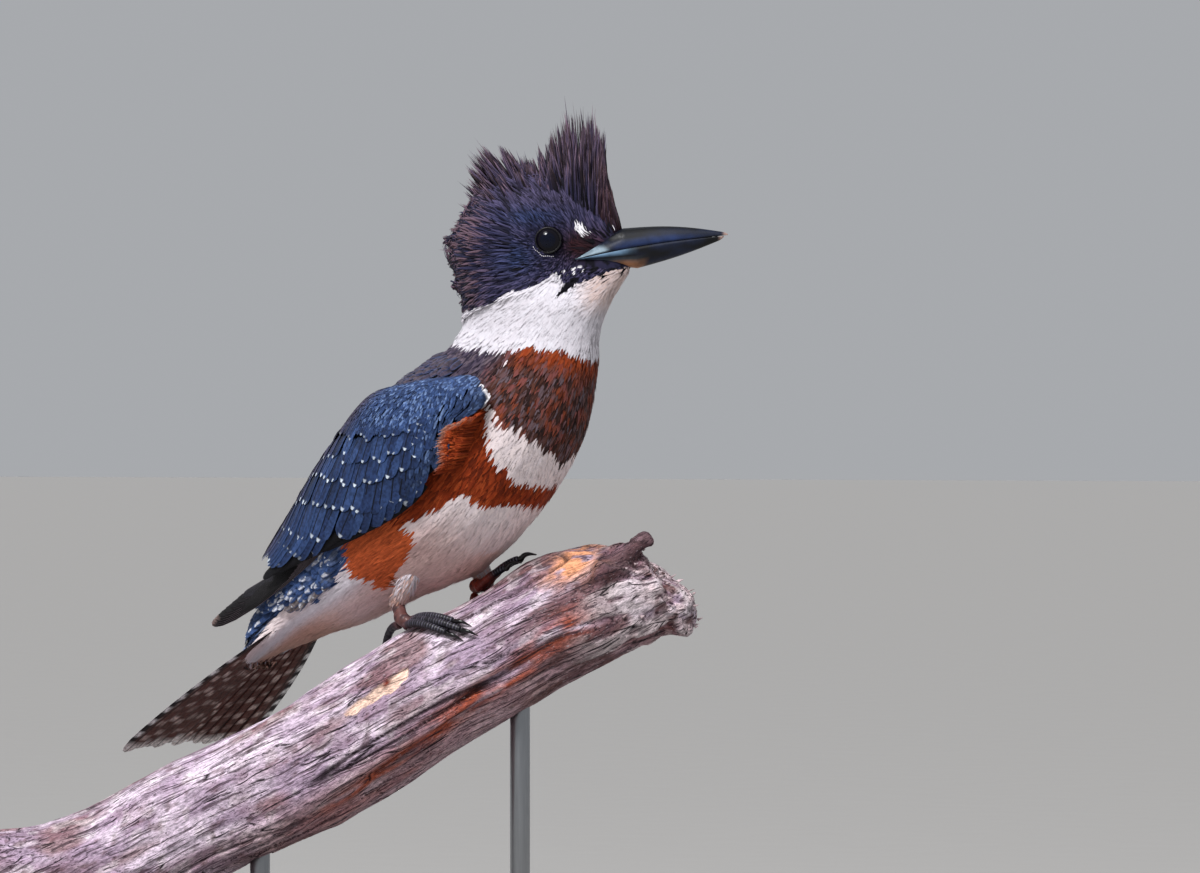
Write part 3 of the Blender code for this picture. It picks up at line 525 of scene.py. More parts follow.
def trunkPoint(t, angle, lift):
    # a point on the trunk in world millimetres, the angle in degrees from the back to the left
    middle, upward, outward, _, depth, width = trunkAxes(t)
    turn, power = np.radians(angle), 2 / trunk["squareness"]
    up = (depth + lift) * np.sign(np.cos(turn)) * np.abs(np.cos(turn)) ** power
    out = (width + lift) * np.sign(np.sin(turn)) * np.abs(np.sin(turn)) ** power
    return middle + upward * up[..., None] + outward * out[..., None] + pose["place"]


def trunkPlace(points):
    # where points lie on the trunk: the share from tail to throat, and the angle round it
    local = points - pose["place"]
    t = np.linspace(0, 1, 121)
    middle, _, _, ahead, _, _ = trunkAxes(t)
    gap = local @ ahead.T - (middle * ahead).sum(-1)
    away = np.sqrt(((local[:, None, ::2] - middle[None, :, ::2]) ** 2).sum(-1))
    index = np.clip(np.argmin(np.abs(gap) + 0.12 * away, 1), 1, len(t) - 2)
    rows = np.arange(len(local))
    slope = (gap[rows, index + 1] - gap[rows, index - 1]) / 2
    share = np.clip(t[index] - gap[rows, index] / np.minimum(slope, -0.2) * t[1], 0, 1)
    middle, upward, outward, _, depth, width = trunkAxes(share)
    up = ((local - middle) * upward).sum(-1) / depth
    out = ((local - middle) * outward).sum(-1) / width
    power = trunk["squareness"] / 2
    angle = np.degrees(np.arctan2(np.sign(out) * np.abs(out) ** power, np.sign(up) * np.abs(up) ** power))
    return share, angle


markings = {
    # edges as (angle from the back, share from tail to throat)
    "collarLow": ((0, 37, 58, 75, 93, 105, 124, 151, 180),
                  (.742, .75, .762, .767, .79, .81, .812, .804, .802)),
    "bandLow": ((98, 105, 111, 120, 135, 150, 162, 171, 176, 180),
                (.66, .642, .633, .625, .621, .612, .604, .592, .582, .577)),
    "rustHigh": ((98, 106, 114, 124, 135, 145, 160, 174, 180),
                 (.66, .629, .596, .562, .546, .537, .533, .542, .546)),
    "rustLow": ((92, 104, 110, 114, 120, 124, 138, 144, 154, 162, 180),
                (.20, .27, .34, .390, .433, .467, .475, .483, .487, .496, .504)),
    "flankFront": ((92, 97, 105, 110, 114, 120, 130, 139, 148, 150),
                   (.27, .31, .345, .35, .352, .362, .333, .287, .25, .2)),
    "flankRear": ((92, 97, 114, 120, 128, 136, 147, 150), (.245, .238, .222, .217, .226, .24, .236, .25)),
    "blueLow": ((.05, .071, .079, .092, .125, .175, .217, .25), (90, 94, 100, 110, 111, 116, 112, 96)),
    # the dark cap's lower edge on the side of the head, as (ahead, height)
    "cap": ((-40, -29, -12.8, -6.8, -1.6, 3.2, 6.5, 9.0, 11.5, 13.0, 17.2, 22.8, 29.2, 36.0, 40.0),
            (269.5, 270.4, 277.0, 278.8, 280.4, 283.2, 285.2, 283.8, 281.0, 280.8, 282.2, 284.6, 287.2, 288.4,
             289.0)),
}
colours = {name: linear(code) for name, code in {
    # the vent's and the lower belly's warm colours also hold painted shade of the underside
    "belly": "#fdecec", "vent": "#dba996", "bellyWarmShade": "#c99990", "collar": "#ece8f1", "shade": "#dfd4dc",
    "band": "#5f3a31", "bandDark": "#2a1c1c", "bandRust": "#ab4e29",
    "rust": "#9a3814", "rustDark": "#67230c", "rustPale": "#ba5226",
    "mantle": "#564b60", "mantleDark": "#302a3b", "mantleEdge": "#70626c",
    "blue": "#223257", "blueDark": "#101829", "blueMid": "#2c4069", "bluePale": "#3c5484",
    "blueSilk": "#7088b4", "rumpPale": "#8b97b4",
    "cap": "#353454", "capDark": "#110f19", "capBlue": "#3d5184", "capPurple": "#5d5577",
    "lores": "#45242a", "fringe": "#85666c", "throat": "#d9b9ad", "white": "#f6f3f8", "flank": "#dc6838",
}.items()}


def edge(name, places):
    return np.interp(places, *markings[name])


def pick(noise, *shades):
    # a colour for each place from a few shades, by its noise
    steps = np.linspace(0, 1, len(shades))
    table = np.array([colours[shade] for shade in shades])
    return np.stack([np.interp(noise, steps, table[:, k]) for k in range(3)], -1)


def paint(points, streak):
    # colour of the plumage at points. streak, 0 to 1, is each feather's own shade
    t, angle = trunkPlace(points)
    around = np.abs(angle)
    wave = grain(points, 5.0, 3) - 0.5
    tick = grain(points, 1.3, 5) - 0.5
    t = t + 0.016 * wave + 0.012 * tick
    colour = pick(streak * 0.5 + 0.5, "shade", "belly")
    # painted shade: the vent and the lower belly's underside, which face down, tinted warmer and darker;
    # partly their own warm tone
    vent = np.maximum(smooth(t, 0.24, 0.04), smooth(around, 150, 180) * 0.6 * (t < 0.4))
    colour = mix(colour, colours["vent"], vent * smooth(around, 96, 126) * 0.95)
    warm = smooth(t, 0.47, 0.34) * smooth(t, 0.1, 0.24) * smooth(around, 104, 132)
    colour = mix(colour, colours["bellyWarmShade"], warm * 0.7)
    pale = smooth(t, 0.27, 0.2) * np.exp(-((around - 121) / 13) ** 2)
    colour = mix(colour, colours["collar"], pale * 0.9)
    rust = pick(np.clip(streak * 0.9 + wave * 0.5, 0, 1), "rustDark", "rust", "rustPale")
    band = pick(streak, "bandDark", "band", "mantleEdge")
    rusty = smooth(grain(points, 2.2, 8) + 0.25 * (streak - 0.5), 0.56, 0.7)
    upper = smooth(edge("collarLow", around) - t, 0.07, 0.02) * smooth(around, 88, 104)
    rusty = np.maximum(rusty * 0.5, upper * (0.55 + 0.45 * (tick > -0.1))) * smooth(around, 70, 100)
    band = mix(band, pick(streak, "rustDark", "bandRust", "rust"), rusty)
    mantle = mix(pick(streak, "mantleDark", "mantle", "mantleEdge"), pick(streak, "blueDark", "blue"),
                 smooth(t, 0.6, 0.42))
    # flank and belly bands
    sides = smooth(around, 92, 96)
    inBand = (t < edge("rustHigh", around)) & (t > edge("rustLow", around))
    inFlank = (t < edge("flankFront", around)) & (t > edge("flankRear", around)) & (around < 149)
    rust = mix(rust, colours["flank"], inFlank * (0.5 + 0.45 * streak))
    colour = mix(colour, rust, sides * (inBand | inFlank))
    inBreast = (t > edge("bandLow", around)) & (t < edge("collarLow", around))
    colour = np.where((inBreast & (around > 96))[..., None], band, colour)
    back = (around <= 96 + 6 * wave) & (t < edge("collarLow", around))
    mantle = mix(mantle, band, smooth(around, 80, 96) * smooth(t, 0.55, 0.62))
    colour = np.where(back[..., None], mantle, colour)
    rump = (t < 0.26) & (around < np.interp(t, *markings["blueLow"]) + 16 * wave + 14 * tick)
    colour = np.where(rump[..., None], pick(streak, "blue", "bluePale", "bluePale", "rumpPale"), colour)
    collar = t > edge("collarLow", around)
    colour = np.where(collar[..., None], pick(streak * 0.4 + 0.6, "shade", "collar"), colour)
    # head
    head = toHead(points)
    ahead, out, high = head[..., 0], np.abs(head[..., 1]), head[..., 2]
    level = high + 1.6 * wave + 1.2 * tick
    dark = level > edge("cap", ahead)
    cap = pick(streak, "capDark", "cap", "capPurple")
    blueness = (np.exp(-((ahead + 2) / 12) ** 2 - ((high - 309) / 4.5) ** 2)
                + np.exp(-((ahead + 9) / 8) ** 2 - ((high - 292) / 7) ** 2))
    cap = mix(cap, pick(streak, "capDark", "capBlue"), np.clip(blueness, 0, 1) * 0.85)
    cap = mix(cap, pick(streak, "capDark", "capPurple"), smooth(high, 308, 318) * 0.8)
    lores = np.exp(-((ahead - 18) / 9) ** 2 - ((high - 297) / 6.5) ** 2)
    cap = mix(cap, pick(streak, "capDark", "lores"), np.clip(lores * 1.3, 0, 1))
    cap = mix(cap, colours["fringe"], smooth(-ahead, 18, 27) * 0.6 * (streak > 0.55))
    # rows of short white dashes below the gape
    run = (ahead - 8.5) * 0.96 + (high - 283.6) * 0.28
    off = (high - 283.6) * 0.96 - (ahead - 8.5) * 0.28
    dashes = ((np.abs(off - 0.5) < 0.32) & (np.sin(run * 1.9) > -0.2)) | (
        (np.abs(off - 2.1) < 0.3) & (np.sin(run * 1.9 + 2) > 0.0))
    dashes = dashes & (run > -1) & (run < 11) & (out > 4)
    cap = np.where(dashes[..., None], colours["white"], cap)
    colour = np.where(dark[..., None], cap, colour)
    # painted shade: the white throat under the bill tinted a darker warm beige
    throat = smooth(ahead, 12, 24) * smooth(high, 266, 276) * ~dark
    colour = mix(colour, colours["throat"], throat * (0.5 + 0.35 * streak))
    # a black spur that hangs down and back from the corner of the mouth, split at its end
    down = np.clip(((16.0 - ahead) * 0.75 + (284.0 - high) * 0.66) / 15.0, 0, 1)
    off = (ahead - 16.0) * 0.66 - (high - 284.0) * 0.75
    split = (np.abs(off - 0.3) < 0.45) & (down > 0.7)
    spur = (np.abs(off + 1.1 * tick) < 1.15 - 0.3 * down) & (down > 0) & ~split
    spur = spur & (down < 1.0 - 0.15 * np.abs(wave))
    specks = (grain(head * (0.8, 1, 0.5), 1.5, 12) > 0.62) & (ahead > 19) & (ahead < 36)
    specks = specks & (level > edge("cap", ahead) - 3.4)
    colour = np.where(((spur | specks) & (out > 3))[..., None], colours["capDark"], colour)
    # the white spot ahead of the eye, its tail, and a short bar at the bill's root
    slope = (high - 304.3) + 0.3 * (ahead - 17.7)
    loral = ((ahead - 17.7) / 2.9) ** 2 + (slope / 1.35) ** 2 < 1
    loral = loral | (((ahead - 17.6) / 1.2) ** 2 + ((high - 302.9) / 1.5) ** 2 < 1)
    loral = loral | (((ahead - 31.6) / 2.4) ** 2 + (((high - 303.9) + 0.6 * (ahead - 31.6)) / 0.8) ** 2 < 1)
    colour = np.where((loral & (out > 2.5))[..., None], colours["white"], colour)
    return colour


skinPlan = {
    "swell": 0.6,            # out before the parts are joined, and back in after
    "voxel": 1.1,
    "rounds": 5,
    "bodyDepth": 2.0,        # how far the skin lies under the feathers' face
    "headDepth": 1.1,
    "legDepth": 1.0,
    "relax": 30,
}
flesh = ("rump", "belly", "breast", "neck", "head", "undertail_coverts", "uppertail_coverts",
         "shin_left", "shin_right")
tail = {"root": (-60.2, 139.0), "pitch": 39.5, "start": -10.6, "length": 65.5, "halfStart": 12.0,
        "halfRoot": 23.0, "halfTip": 37.0, "quills": 12, "bar": 9.1, "camber": 0.8, "width": 12.6}


def closedCopy(name, swell):
    # a node's mesh with its points merged and pushed out along its normals
    solid = bmesh.new()
    solid.from_mesh(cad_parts[name].data)
    bmesh.ops.remove_doubles(solid, verts=solid.verts, dist=1e-6)
    solid.normal_update()
    for corner in solid.verts:
        corner.co += corner.normal * swell * mm
    mesh = bpy.data.meshes.new(name + "Copy")
    solid.to_mesh(mesh)
    solid.free()
    return mesh


def remeshed(name, meshes, voxel, rounds):
    # the meshes as one closed, smoothed surface: points in millimetres and triangles
    joined = bmesh.new()
    for mesh in meshes:
        joined.from_mesh(mesh)
    mesh = bpy.data.meshes.new(name)
    joined.to_mesh(mesh)
    joined.free()
    made = placed(name, mesh)
    grid = made.modifiers.new("grid", "REMESH")
    grid.mode = "VOXEL"
    grid.voxel_size = voxel * mm
    relax = made.modifiers.new("relax", "SMOOTH")
    relax.factor, relax.iterations = 0.5, rounds
    made.modifiers.new("triangles", "TRIANGULATE")
    solid = evaluated(made)
    points = np.empty(len(solid.vertices) * 3)
    solid.vertices.foreach_get("co", points)
    faces = np.empty(len(solid.polygons) * 3, np.int32)
    solid.polygons.foreach_get("vertices", faces)
    return points.reshape(-1, 3) / mm, faces.reshape(-1, 3)


def makeSkin():
    copies = [closedCopy(name, skinPlan["swell"]) for name in flesh]
    copies += [closedCopy(name, -0.5) for name in ("bill_upper", "bill_lower", "eye_left", "eye_right")]
    points, faces = remeshed("skinGrid", copies, skinPlan["voxel"], skinPlan["rounds"])
    outer = Surface(points, faces)
    head = toHead(points)
    depth = skinPlan["bodyDepth"]
    depth = depth + (skinPlan["headDepth"] - depth) * smooth(head[:, 2], 262, 278)
    behind = (points - pose["place"])[:, 0]
    pitch = math.radians(tail["pitch"])
    above = np.array((-math.sin(pitch), 0.0, math.cos(pitch)))
    under = -((points - pose["place"] - (tail["root"][0], 0, tail["root"][1])) @ above)
    flat = np.interp(behind, (-85, -70, -47, -25), (0.8, 0.72, 0.2, 0.0))   # thinner towards the tail's root
    points = points + above * (np.maximum(under, 0) * flat)[:, None]
    below = smooth(under, -1.0, 6.0)
    points[:, 1] -= 11.0 * smooth(behind, -45, -72) * below
    past = np.maximum(0, -70 - behind) * 0.75 / math.cos(pitch)
    points = points + np.array((math.cos(pitch), 0.0, math.sin(pitch))) * past[:, None]
    ends = np.concatenate((faces[:, [0, 1]], faces[:, [1, 2]], faces[:, [2, 0]]))
    fans = np.maximum(np.bincount(ends[:, 0], minlength=len(points)), 1)
    ease = smooth(behind, -34, -44)[:, None]
    for _ in range(skinPlan["relax"]):
        around = np.stack([np.bincount(ends[:, 0], points[ends[:, 1], k], len(points)) / fans
                           for k in range(3)], -1)
        points = points + (around - points) * 0.6 * ease
    shin = smooth(points[:, 2], 172, 164) * smooth((points - pose["place"])[:, 0], 4, 12)
    depth = depth + (skinPlan["legDepth"] - depth) * shin
    chin = smooth(head[:, 0], 20, 28) * smooth(head[:, 2], 268, 276) * smooth(head[:, 2], 294, 290)
    depth = depth - 0.9 * chin
    points = points - outer.normals * (depth + skinPlan["swell"])[:, None]
    tint = paint(points, np.full(len(points), 0.25))
    meshOf("skin", points, faces, looks["down"], flesh, tint)
    return Surface(points, faces)


skin = makeSkin()
print("skin made", len(skin.faces))


flow = {
    "heart": (12.0, 296.0),      # middle of the face, ahead and height
    # direction round the heart against the feathers' direction, both up from the bill's line
    "round": (0, 12, 22, 45, 70, 90, 110, 130, 150, 165, 180, 200, 215, 235, 255, 270, 290, 315, 340, 360),
    "lie": (172, 150, 118, 100, 98, 101, 110, 126, 142, 158, 176, 190, 201, 217, 236, 240, 226, 214, 196,
            172),
}


def lieOf(points, normals):
    # the direction in which feathers point, along the surface
    t, angle = trunkPlace(points)
    step = 0.02
    near = trunkPoint(np.clip(t, 0.03, 1), angle, 0 * t)
    body = trunkPoint(np.clip(t, 0.03, 1) - step, angle, 0 * t) - near
    head = toHead(points)
    x, z = head[:, 0] - flow["heart"][0], head[:, 2] - flow["heart"][1]
    turn = np.degrees(np.arctan2(z, x)) % 360
    lie = np.interp(turn, flow["round"], flow["lie"])
    close = smooth(np.hypot(x, z), 22, 9) * smooth(turn, 60, 90) * smooth(turn, 165, 140)
    lie = np.radians(lie + (150 - lie) * close)
    spread = np.sign(head[:, 1]) * smooth(head[:, 2], 308, 318) * 0.12
    face = turned(np.stack((np.cos(lie), spread, np.sin(lie)), -1), pose["turn"])
    share = smooth(head[:, 2], trunk["neckBase"], trunk["neckTop"])
    lying = mix(unit(body), unit(face), share)
    return unit(lying - normals * (lying * normals).sum(-1, keepdims=True))


def mapPlaces(points):
    # each root's place on the skin's own unwrap: along the spine, and round it
    t, angle = trunkPlace(points)
    head = toHead(points)
    above = smooth(head[:, 2], 266, 276)
    bearing = np.degrees(np.arctan2(head[:, 1], head[:, 0] - 2)) / 360 + 0.5
    onTrunk = np.stack((angle / 360 + 0.5, t * 0.62), -1)
    onHead = np.stack((bearing, 0.62 + np.clip((head[:, 2] - 268) / 60, 0, 1) * 0.36), -1)
    return np.where((above > 0.5)[:, None], onHead, onTrunk)


def lay(surface, rng, roots, normals, lie, length, lift, sink, splay):
    # base, middle, tip and ups of feathers that hug a surface
    yaw = rng.normal(0, splay, len(roots))[:, None]
    lie = unit(lie + np.cross(normals, lie) * yaw)
    middle, upMiddle = surface.nearest(roots + lie * (length * 0.5)[:, None])
    tip, upTip = surface.nearest(roots + lie * length[:, None])
    return (roots - normals * sink, middle + upMiddle * (lift * 0.62)[:, None], tip + upTip * lift[:, None],
            normals, upTip)


def coat(name, rng, surface, chosen, plan, colourOf=paint):
    # a layer of locks over part of a surface
    roots, normals = surface.scatter(rng, chosen(surface.middles), plan["spacing"])
    lie = plan.get("lie", lieOf)(roots, normals)
    size, width = (plan[key](roots) if callable(plan[key]) else plan[key] for key in ("length", "width"))
    size = size * rng.uniform(0.78, 1.22, len(roots))
    lift = plan["lift"] * rng.uniform(0.6, 1.35, len(roots))
    lift = lift + plan["stray"] * (rng.random(len(roots)) > 0.965)
    parts = lay(surface, rng, roots, normals, lie, size, lift, plan["sink"], plan["splay"])
    half = width / 2 * rng.uniform(0.75, 1.2, len(roots))
    points, faces, along, sideways, owner = blades(plan.get("shape", lockShape), *parts, half)
    streak = rng.random(len(roots))
    shown = colourOf(mix(parts[1], parts[2], np.full(len(roots), 0.4)), streak)
    light = smooth(shown.mean(-1), 0.03, 0.5)
    deep = shown * (plan["rootShade"] + (0.9 - plan["rootShade"]) * light)[:, None]
    tint = mix(deep[owner], shown[owner], smooth(along, 0.1, 0.7))
    tint = tint * (1 - (0.22 - 0.17 * light)[owner] * np.abs(sideways))[:, None]
    ups = mix(parts[3][owner], parts[4][owner], along)
    print(name, len(roots), "locks", len(faces), "triangles")
    meshOf(name, points, faces, looks["plumage"], (), tint, None,
           lockMaps(mapPlaces(roots), along, sideways, owner, 1), (ups, plan["soft"]))


lockShape = {"outline": ((0.0, 0.5), (0.42, 1.0)), "top": 3, "under": 0, "ridge": 0.16, "camber": 0.06}
hairShape = {"outline": ((0.0, 0.7), (0.3, 1.0), (0.68, 0.62)), "top": 3, "under": 0, "ridge": 0.45,
             "camber": 0.1}


wing = {
    "span": (0.05, 0.72),                                   # stretch of trunk that it covers
    "top": (6.0, 9.0, 16.0, 30.0, 54.0, 78.0),              # edges round the trunk, tail end first
    "low": (66.0, 86.0, 99.0, 107.0, 110.0, 100.0),
    "standOff": (3.4, 1.9, 1.1, 1.0, 1.0, 1.0),
    "thickness": (2.4, 3.2, 3.8, 4.6, 5.6, 5.6),
    "wrist": 0.14,
    "gap": 0.75,
}


def wingLimits(share):
    # how far the folded wing shows towards its upper and its lower edge
    return (np.interp(share, (0.86, 0.925, 0.958, 0.98), (-1.0, -0.47, 0.0, 0.25)),
            np.interp(share, (0.5, 0.68, 0.71, 0.758, 0.808, 0.858, 0.892, 0.955, 0.972, 0.99),
                      (0.95, 0.94, 0.92, 0.7, 0.58, 0.74, 0.95, 0.93, 0.7, 0.2)))


def wingFront(across):
    # how far forward the folded wing's rounded bend reaches
    return np.interp(across, (-1.0, -0.05, 0.5, 0.8, 1.0), (0.985, 0.982, 0.972, 0.955, 0.925))


def wingPlace(points):
    # where points lie on the folded wing: share from its tail end, across from its upper edge, half its width
    t, angle = trunkPlace(points)
    share = (t - wing["span"][0]) / (wing["span"][1] - wing["span"][0])
    top, low = (spline(wing[key], share)[..., 0] for key in ("top", "low"))
    half = (low - top) / 2
    return share, (np.abs(angle) - (top + low) / 2) / half, half


def underWing(points, margin):
    # whether the folded wing hides this place of the trunk
    share, across, half = wingPlace(points)
    upper, lower = wingLimits(share)
    inset = margin / half
    return (share > 0.0) & (share < 0.93) & (across > upper + inset) & (across < lower - inset)


def headness(points):
    return toHead(points)[:, 2]


eye = {"place": (4.5, 10.9, 299.0), "radius": 6.3, "opening": 4.9, "pupil": (2.9, 3.3), "rings": 40,
       "sides": 64, "lid": (168, 14, 1.15)}       # lid: steps round, points on its section, how deep


def distanceToEye(points):
    head = toHead(points)
    away = np.hypot(head[:, 0] - eye["place"][0], head[:, 2] - eye["place"][2])
    return away + 30 * (np.abs(head[:, 1]) < 8)


def onFace(points):
    head = toHead(points)
    return (head[:, 2] > 276) & (head[:, 0] > -8) & (head[:, 2] < 316)


def belowCap(points):
    head = toHead(points)
    return (head[:, 2] < edge("cap", head[:, 0]) - 0.8) & (head[:, 2] < 289)


bodyCoat = {"spacing": 0.98, "length": 9.5, "width": 1.6, "lift": 0.65, "stray": 0.45, "sink": 0.4,
            "splay": 0.1, "rootShade": 0.66, "soft": 0.92}
bodyAreas = {
    # share from the tail to the throat, and what differs there
    "vent": (-1, 0.2, {"soft": 0.8}),
    "belly": (0.2, 0.47, {"soft": 0.82}),
    "breast": (0.47, 0.66, {"length": 7.2, "width": 2.0}),
    "shoulder": (0.66, 0.86, {"length": 6.2, "spacing": 1.0}),
}
collarCoat = bodyCoat | {"length": 8.0, "spacing": 0.8, "width": 1.0, "lift": 0.35, "stray": 0.15,
                         "splay": 0.07, "soft": 0.97}


def makeBodyPlumage():
    rng = np.random.default_rng(11)

    def between(low, high):
        def chosen(points):
            t, angle = trunkPlace(points)
            shins = (points[:, 2] < 166) & (np.abs(angle) > 150) & (t > 0.3)
            return (t >= low) & (t < high) & (headness(points) < 270) & ~underWing(points, 9) & ~shins
        return chosen

    def onCollar(points):
        high = headness(points)
        return (high >= 262) & (trunkPlace(points)[0] > 0.8) & ((high < 276) | belowCap(points))

    for name, (low, high, change) in bodyAreas.items():
        coat("plumage_" + name, rng, skin, between(low, high), bodyCoat | change)
    coat("plumage_collar", rng, skin, onCollar, collarCoat)


def faceLength(points):
    head = toHead(points)
    far = np.clip(distanceToEye(points) - 5, 0, 24)
    upper = np.maximum(smooth(head[:, 2], 290, 300), smooth(-head[:, 0], -6, 4))
    return 1.7 + far * (0.09 + 0.27 * upper * smooth(head[:, 0], 34, 20))


faceCoat = {"spacing": 0.62, "length": faceLength,
            "width": lambda points: 0.5 + 0.03 * np.clip(distanceToEye(points) - 5, 0, 16),
            "lift": 0.75, "stray": 0.3, "sink": 0.3, "splay": 0.14, "rootShade": 0.5, "soft": 0.75}
napeCoat = {"spacing": 0.82, "length": lambda points: 5.0 + 0.25 * np.clip(headness(points) - 272, 0, 22),
            "width": 1.05, "lift": 1.3, "stray": 1.2, "sink": 0.3, "splay": 0.15, "rootShade": 0.45,
            "soft": 0.5, "shape": hairShape}


def makeHeadPlumage():
    rng = np.random.default_rng(12)

    def onCap(points):
        # clear of the eyes, of the bill's root and of the pale collar
        head = toHead(points)
        mouth = np.interp(head[:, 0], (12.0, 15.6, 34.0), (291.6, 291.6, 304.0))
        inBill = (head[:, 0] > 14.2) & (head[:, 2] < mouth - 0.4) & (head[:, 2] > 288.5)
        inBill = inBill & (np.abs(head[:, 1]) < 12)
        return (distanceToEye(points) > 4.7) & ~inBill & ~belowCap(points)

    def onNape(points):
        return (headness(points) >= 268) & ~onFace(points) & onCap(points)

    coat("plumage_face", rng, skin, lambda points: onFace(points) & onCap(points), faceCoat)
    coat("plumage_nape", rng, skin, onNape, napeCoat)


makeBodyPlumage()
makeHeadPlumage()


crest = {
    # root ahead of the neck's axis, root height, direction above the bill's line, length
    "stations": ((33.2, 304.5, 104.0, 14.0), (30.0, 309.0, 97.5, 27.0), (26.2, 313.0, 93.5, 36.0),
                 (20.5, 317.0, 94.0, 38.5), (13.5, 319.5, 98.0, 30.5), (7.0, 320.5, 103.0, 20.0),
                 (1.0, 320.3, 112.0, 13.0), (-4.5, 319.2, 121.0, 25.0), (-10.5, 315.8, 130.0, 26.5),
                 (-16.0, 310.5, 138.0, 18.5), (-20.5, 305.5, 152.0, 11.5), (-24.5, 301.0, 165.0, 11.5),
                 (-26.5, 294.0, 178.0, 11.0), (-26.0, 285.0, 196.0, 7.5), (-24.0, 277.0, 222.0, 7.5)),
    "half": ((0, 0.2, 0.45, 0.7, 1.0), (4.0, 7.5, 9.0, 10.0, 11.0)),      # half its width, from front to nape
    "centre": (4, 296),      # ahead and height that the roots at its sides draw in to
    "strands": 9000,
    "clumps": 180,
    "pull": 0.74,            # how far each strand is drawn into its clump
    "width": 0.78,
    "sink": 2.0,
}


def makeCrest():
    rng = np.random.default_rng(21)

    def stems(count, low, high):
        place = rng.uniform(0, 1, count)
        side = rng.normal(0, 0.5, count).clip(-1, 1)
        ahead, height, lie, length = np.moveaxis(spline(crest["stations"], place), -1, 0)
        half = np.interp(place, *crest["half"])
        inward = 1 - 0.16 * np.abs(side) ** 1.5
        middle, level = crest["centre"]
        rise = (height - level) * (1 - 0.22 * side ** 2)
        roots = np.stack((middle + (ahead - middle) * inward, side * half, level + rise), -1)
        turn = np.radians(lie + rng.normal(0, 3.5, count))
        lean = side * 0.22 + rng.normal(0, 0.045, count)
        aim = unit(np.stack((np.cos(turn), lean, np.sin(turn)), -1))
        return roots, aim, length * (1 - 0.3 * np.abs(side)) * rng.uniform(low, high, count), side, place

    clumpRoots, clumpAims, clumpLengths, _, _ = stems(crest["clumps"], 0.78, 1.16)
    clumpTips = clumpRoots + clumpAims * clumpLengths[:, None]
    roots, aims, lengths, side, place = stems(crest["strands"], 0.3, 1.0)
    tips = roots + aims * lengths[:, None]
    nearest = np.argmin(((clumpRoots[None] - roots[:, None]) ** 2).sum(-1)
                        + 4 * ((clumpAims[None] - aims[:, None]) ** 2).sum(-1), 1)
    share = np.clip(lengths / clumpLengths[nearest], 0, 1)
    pull = clumpRoots[nearest] + (clumpTips[nearest] - clumpRoots[nearest]) * share[:, None]
    tips = mix(tips, pull, crest["pull"] * share ** 1.2)
    tips = tips + aims * (lengths * 0.18 * (rng.random(len(roots)) > 0.975))[:, None]
    curl = np.stack((-np.ones(len(roots)), 0 * side, 0 * side), -1)
    middle = (roots + tips) / 2 + curl * (0.02 * lengths * rng.uniform(-0.6, 1.6, len(roots)))[:, None]
    outward = unit(np.stack((aims[:, 2] * 0.2, np.sign(side) + side, 0.2 + 0 * side), -1))
    deep = roots - aims * crest["sink"]
    width = crest["width"] / 2 * rng.choice((0.5, 0.8, 1.0, 1.9), len(roots), p=(0.3, 0.3, 0.25, 0.15))
    worlds = [fromHead(spots) for spots in (deep, middle, tips)]
    ups = turned(outward, pose["turn"])
    points, faces, along, sideways, owner = blades(hairShape, *worlds, ups, ups, width)
    streak = rng.random(len(roots))
    shade = pick(streak, "capDark", "capDark", "cap", "capPurple") * 0.8
    front = smooth(place, 0.16, 0.03)
    shade = mix(shade, colours["lores"] * 0.5, front * 0.7)
    faded = np.clip(0.25 + 0.5 * (streak > 0.8) + 0.55 * smooth(place, 0.62, 0.8), 0, 0.9)
    tipShade = mix(shade * 1.25, colours["fringe"], faded)
    tint = mix(shade[owner], tipShade[owner], smooth(along, 0.45, 1.0) ** 1.3)
    places = np.stack((place, side / 2 + 0.5), -1)
    print("crest", len(roots), "strands", len(faces), "triangles")
    meshOf("crest_plumes", points, faces, looks["hair"], ("crest",), tint, None,
           lockMaps(places, along, sideways, owner, 2), (ups[owner], 0.25))


makeCrest()


featherShape = {"outline": ((0.0, 0.4), (0.18, 0.85), (0.45, 1.0), (0.74, 0.98), (0.89, 0.8), (0.97, 0.42)),
                "top": 5, "under": 1, "ridge": 0.05, "camber": 0.05}


def wingPoint(share, across, lift, side):
    # a point on the folded wing's outer face: share from its tail end, across from its upper edge
    span = wing["span"]
    share = np.clip(share, 0, 1)
    t = span[0] + (span[1] - span[0]) * share
    top, low = spline(wing["top"], share)[..., 0], spline(wing["low"], share)[..., 0]
    wrist = np.sin(np.pi / 2 * np.minimum(1.0, (1 - share) / wing["wrist"] + 0.12))
    thick = spline(wing["thickness"], share)[..., 0] * wrist
    reach = (low - top) / 2 * (0.55 + 0.45 * wrist)
    body = 0.16 + 0.84 * np.sqrt(np.maximum(1 - np.abs(across) ** 4, 0.0))
    angle = side * ((top + low) / 2 + reach * across)
    out = spline(wing["standOff"], share)[..., 0] + wing["gap"] + thick * body
    return trunkPoint(t, angle, out + lift)


